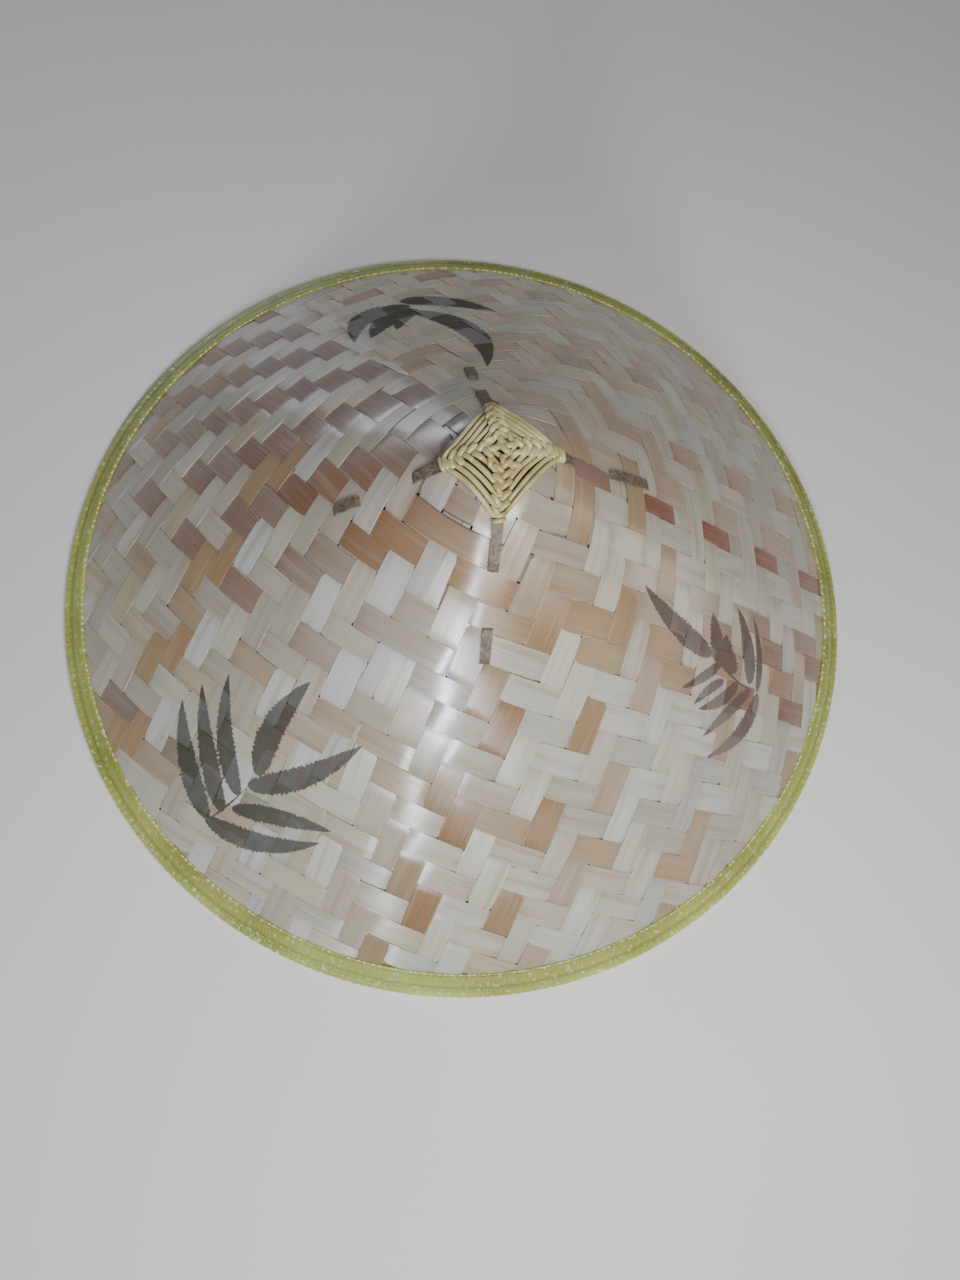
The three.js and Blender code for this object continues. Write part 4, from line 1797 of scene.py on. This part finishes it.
@dataclass(frozen=True)
class Studio:
    """Floor, lights and camera. Lengths are in metres.

    The floor lies a hair under the rim, so that the two faces don't coincide.
    """

    floor_finish: PaintedBoard
    camera_place: tuple[float, float, float] = (0.0, -0.17119, 0.47283)
    camera_aim: tuple[float, float, float] = (0.011984, -0.042885, 0.06)
    camera_roll_deg: float = -20.013
    lens_mm: float = 27.0
    clip_start: float = 0.01
    floor_size: float = 24.0
    floor_drop: float = 0.0002
    lamp_aim: float = 0.07
    lamps: tuple[Lamp, ...] = (
        Lamp("window", -86, 27, 1.6, 0.12, 0.26, 10.0, "#e6efff"),
        Lamp("overhead", -58, 56, 0.62, 0.25, 0.25, 3.3),
        Lamp("far_window", 132, 5, 1.8, 0.7, 0.36, 5.2, "#dae3f2"),
        Lamp("right_window", 18, 5, 1.8, 0.4, 0.36, 1.3, "#f3e6cf"),
    )
    sky: str = "#e3e5e8"
    sky_strength: float = 0.15

    def build(self) -> None:
        """Set up the floor, the camera and the lights."""
        bm = bmesh.new()
        bmesh.ops.create_grid(bm, x_segments=1, y_segments=1, size=self.floor_size / 2)
        bmesh.ops.translate(bm, verts=bm.verts, vec=(0, 0, -self.floor_drop))
        mesh = bpy.data.meshes.new("floor")
        bm.to_mesh(mesh)
        bm.free()
        mesh.materials.append(self.floor_finish.material())
        floor = bpy.data.objects.new("floor", mesh)
        bpy.context.scene.collection.objects.link(floor)

        data = bpy.data.cameras.new("camera")
        data.lens = self.lens_mm
        data.clip_start = self.clip_start
        camera = bpy.data.objects.new("camera", data)
        place = Vector(self.camera_place)
        heading = Vector(self.camera_aim) - place
        turn = heading.to_track_quat("-Z", "Y").to_matrix().to_4x4()
        roll = Matrix.Rotation(-math.radians(self.camera_roll_deg), 4, "Z")
        camera.matrix_world = Matrix.Translation(place) @ turn @ roll
        bpy.context.scene.collection.objects.link(camera)
        bpy.context.scene.camera = camera

        for lamp in self.lamps:
            self._light(lamp)
        world = bpy.data.worlds.new("studio")
        world.use_nodes = True
        background = world.node_tree.nodes["Background"]
        background.inputs["Color"].default_value = linear(self.sky)
        background.inputs["Strength"].default_value = self.sky_strength
        bpy.context.scene.world = world

    def _light(self, lamp: Lamp) -> None:
        """Add a soft area light that looks at the hat.

        Args:
            lamp: The light.
        """
        data = bpy.data.lights.new(lamp.name, "AREA")
        data.shape = "RECTANGLE"
        data.size = lamp.width
        data.size_y = lamp.height
        data.energy = lamp.power
        data.color = linear(lamp.colour)[:3]
        light = bpy.data.objects.new(lamp.name, data)
        azimuth = math.radians(lamp.azimuth_deg)
        elevation = math.radians(lamp.elevation_deg)
        level = math.cos(elevation)
        out = Vector((level * math.cos(azimuth), level * math.sin(azimuth), math.sin(elevation)))
        place = out * lamp.distance + Vector((0, 0, self.lamp_aim))
        turn = (-out).to_track_quat("-Z", "Y").to_matrix().to_4x4()
        light.matrix_world = Matrix.Translation(place) @ turn
        bpy.context.scene.collection.objects.link(light)


def weave_sheaves() -> tuple[Sheaf, Sheaf, Sheaf]:
    """State the three sheaves of splints and the colours of those that stand out.

    Each such splint has a colour at its counter-clockwise end and one at its clockwise end. Some of them
    darken once more where their counter-clockwise end comes to the rim.

    Returns:
        The sheaves, counter-clockwise.
    """
    right = Sheaf(
        name="splints_right",
        line_deg=13.67,
        pitch=11.3,
        offset=0.0,
        lean=0.1,
        fan=0.0,
        back_lean=0.0,
        crowding=0.0,
        phase=1,
        first=-3,
        seed=5,
        colours={
            0: ("#c0ad95", "#b7ac9a"),
            1: ("#b49d7e", "#b2a794"),
            2: ("#b5a288", "#9d8668"),
            3: ("#b3a087", "#93724f"),
            4: ("#b8a68d", "#c7c3b1"),
            5: ("#b7a286", "#c2bfad"),
            6: ("#ae9779", "#9b7c59"),
            8: ("#b29677", "#ad9883"),
            9: ("#b6a68d", "#c7c6bb"),
        },
    )
    far = Sheaf(
        name="splints_far",
        line_deg=133.67,
        pitch=10.8,
        offset=-0.27,
        lean=0.0,
        fan=0.0013,
        back_lean=0.0,
        crowding=0.0,
        phase=3,
        first=0,
        seed=9,
        colours={
            0: ("#b9b8b2", "#844930"),
            1: ("#c5c5bf", "#b0967c"),
            3: ("#c8c8c0", "#a6876b"),
            7: ("#c8c8c2", "#a18570"),
            8: ("#a78763", "#b19b7f"),
            9: ("#a98c67", "#b29d85"),
            14: ("#c7c4b7", "#a08870"),
            18: ("#af9779", "#94704a"),
        },
    )
    left = Sheaf(
        name="splints_left",
        line_deg=253.67,
        pitch=11.75,
        offset=-0.5,
        lean=0.092,
        fan=0.0,
        back_lean=0.02,
        crowding=5.9,
        phase=1,
        first=-3,
        seed=3,
        colours={
            0: ("#b8b2a3", "#74503d"),
            1: ("#beb9ab", "#80604c"),
            2: ("#b4ab9a", "#7b5745"),
            3: ("#ab9b83", "#835b43"),
            4: ("#a98f70", "#8b6045"),
            5: ("#aa9679", "#82573d"),
            6: ("#c1beb1", "#8f7665"),
            7: ("#c3c1b6", "#8c6e5c"),
            9: ("#c2c0b3", "#917563"),
            16: ("#bfbeb1", "#8a7865"),
        },
        rim_colours={2: "#94745f", 3: "#87644d", 4: "#96745a", 5: "#855a43"},
    )
    return right, far, left


def main() -> None:
    """Build the hat's looks around its frame."""
    logging.basicConfig(level=logging.INFO)
    cone = ConeFace()
    thread = PlantFibre("pale_straw_thread", "#cfc682", "#f6f2cf", streak=2.0, spacing=2.0, roughness=0.3)
    # The lashing's core is coloured near black: painted shade between the rattan strands.
    shaded = PlantFibre("shaded_rattan", "#1c1508", "#35280f", streak=3.3, spacing=3.3, roughness=0.7)
    smoked = PlantFibre("smoked_bamboo", "#4d4236", "#83725f", streak=40.0, spacing=1.1, roughness=0.5)
    Weave(cone, weave_sheaves(), DriedBamboo()).build()
    Binding(cone, StrawBraid(), thread).build()
    Ornament(cone, RattanStrand(), shaded).build()
    CrossSlats(smoked).dress()
    Studio(PaintedBoard()).build()


if __name__ == "__main__":
    main()
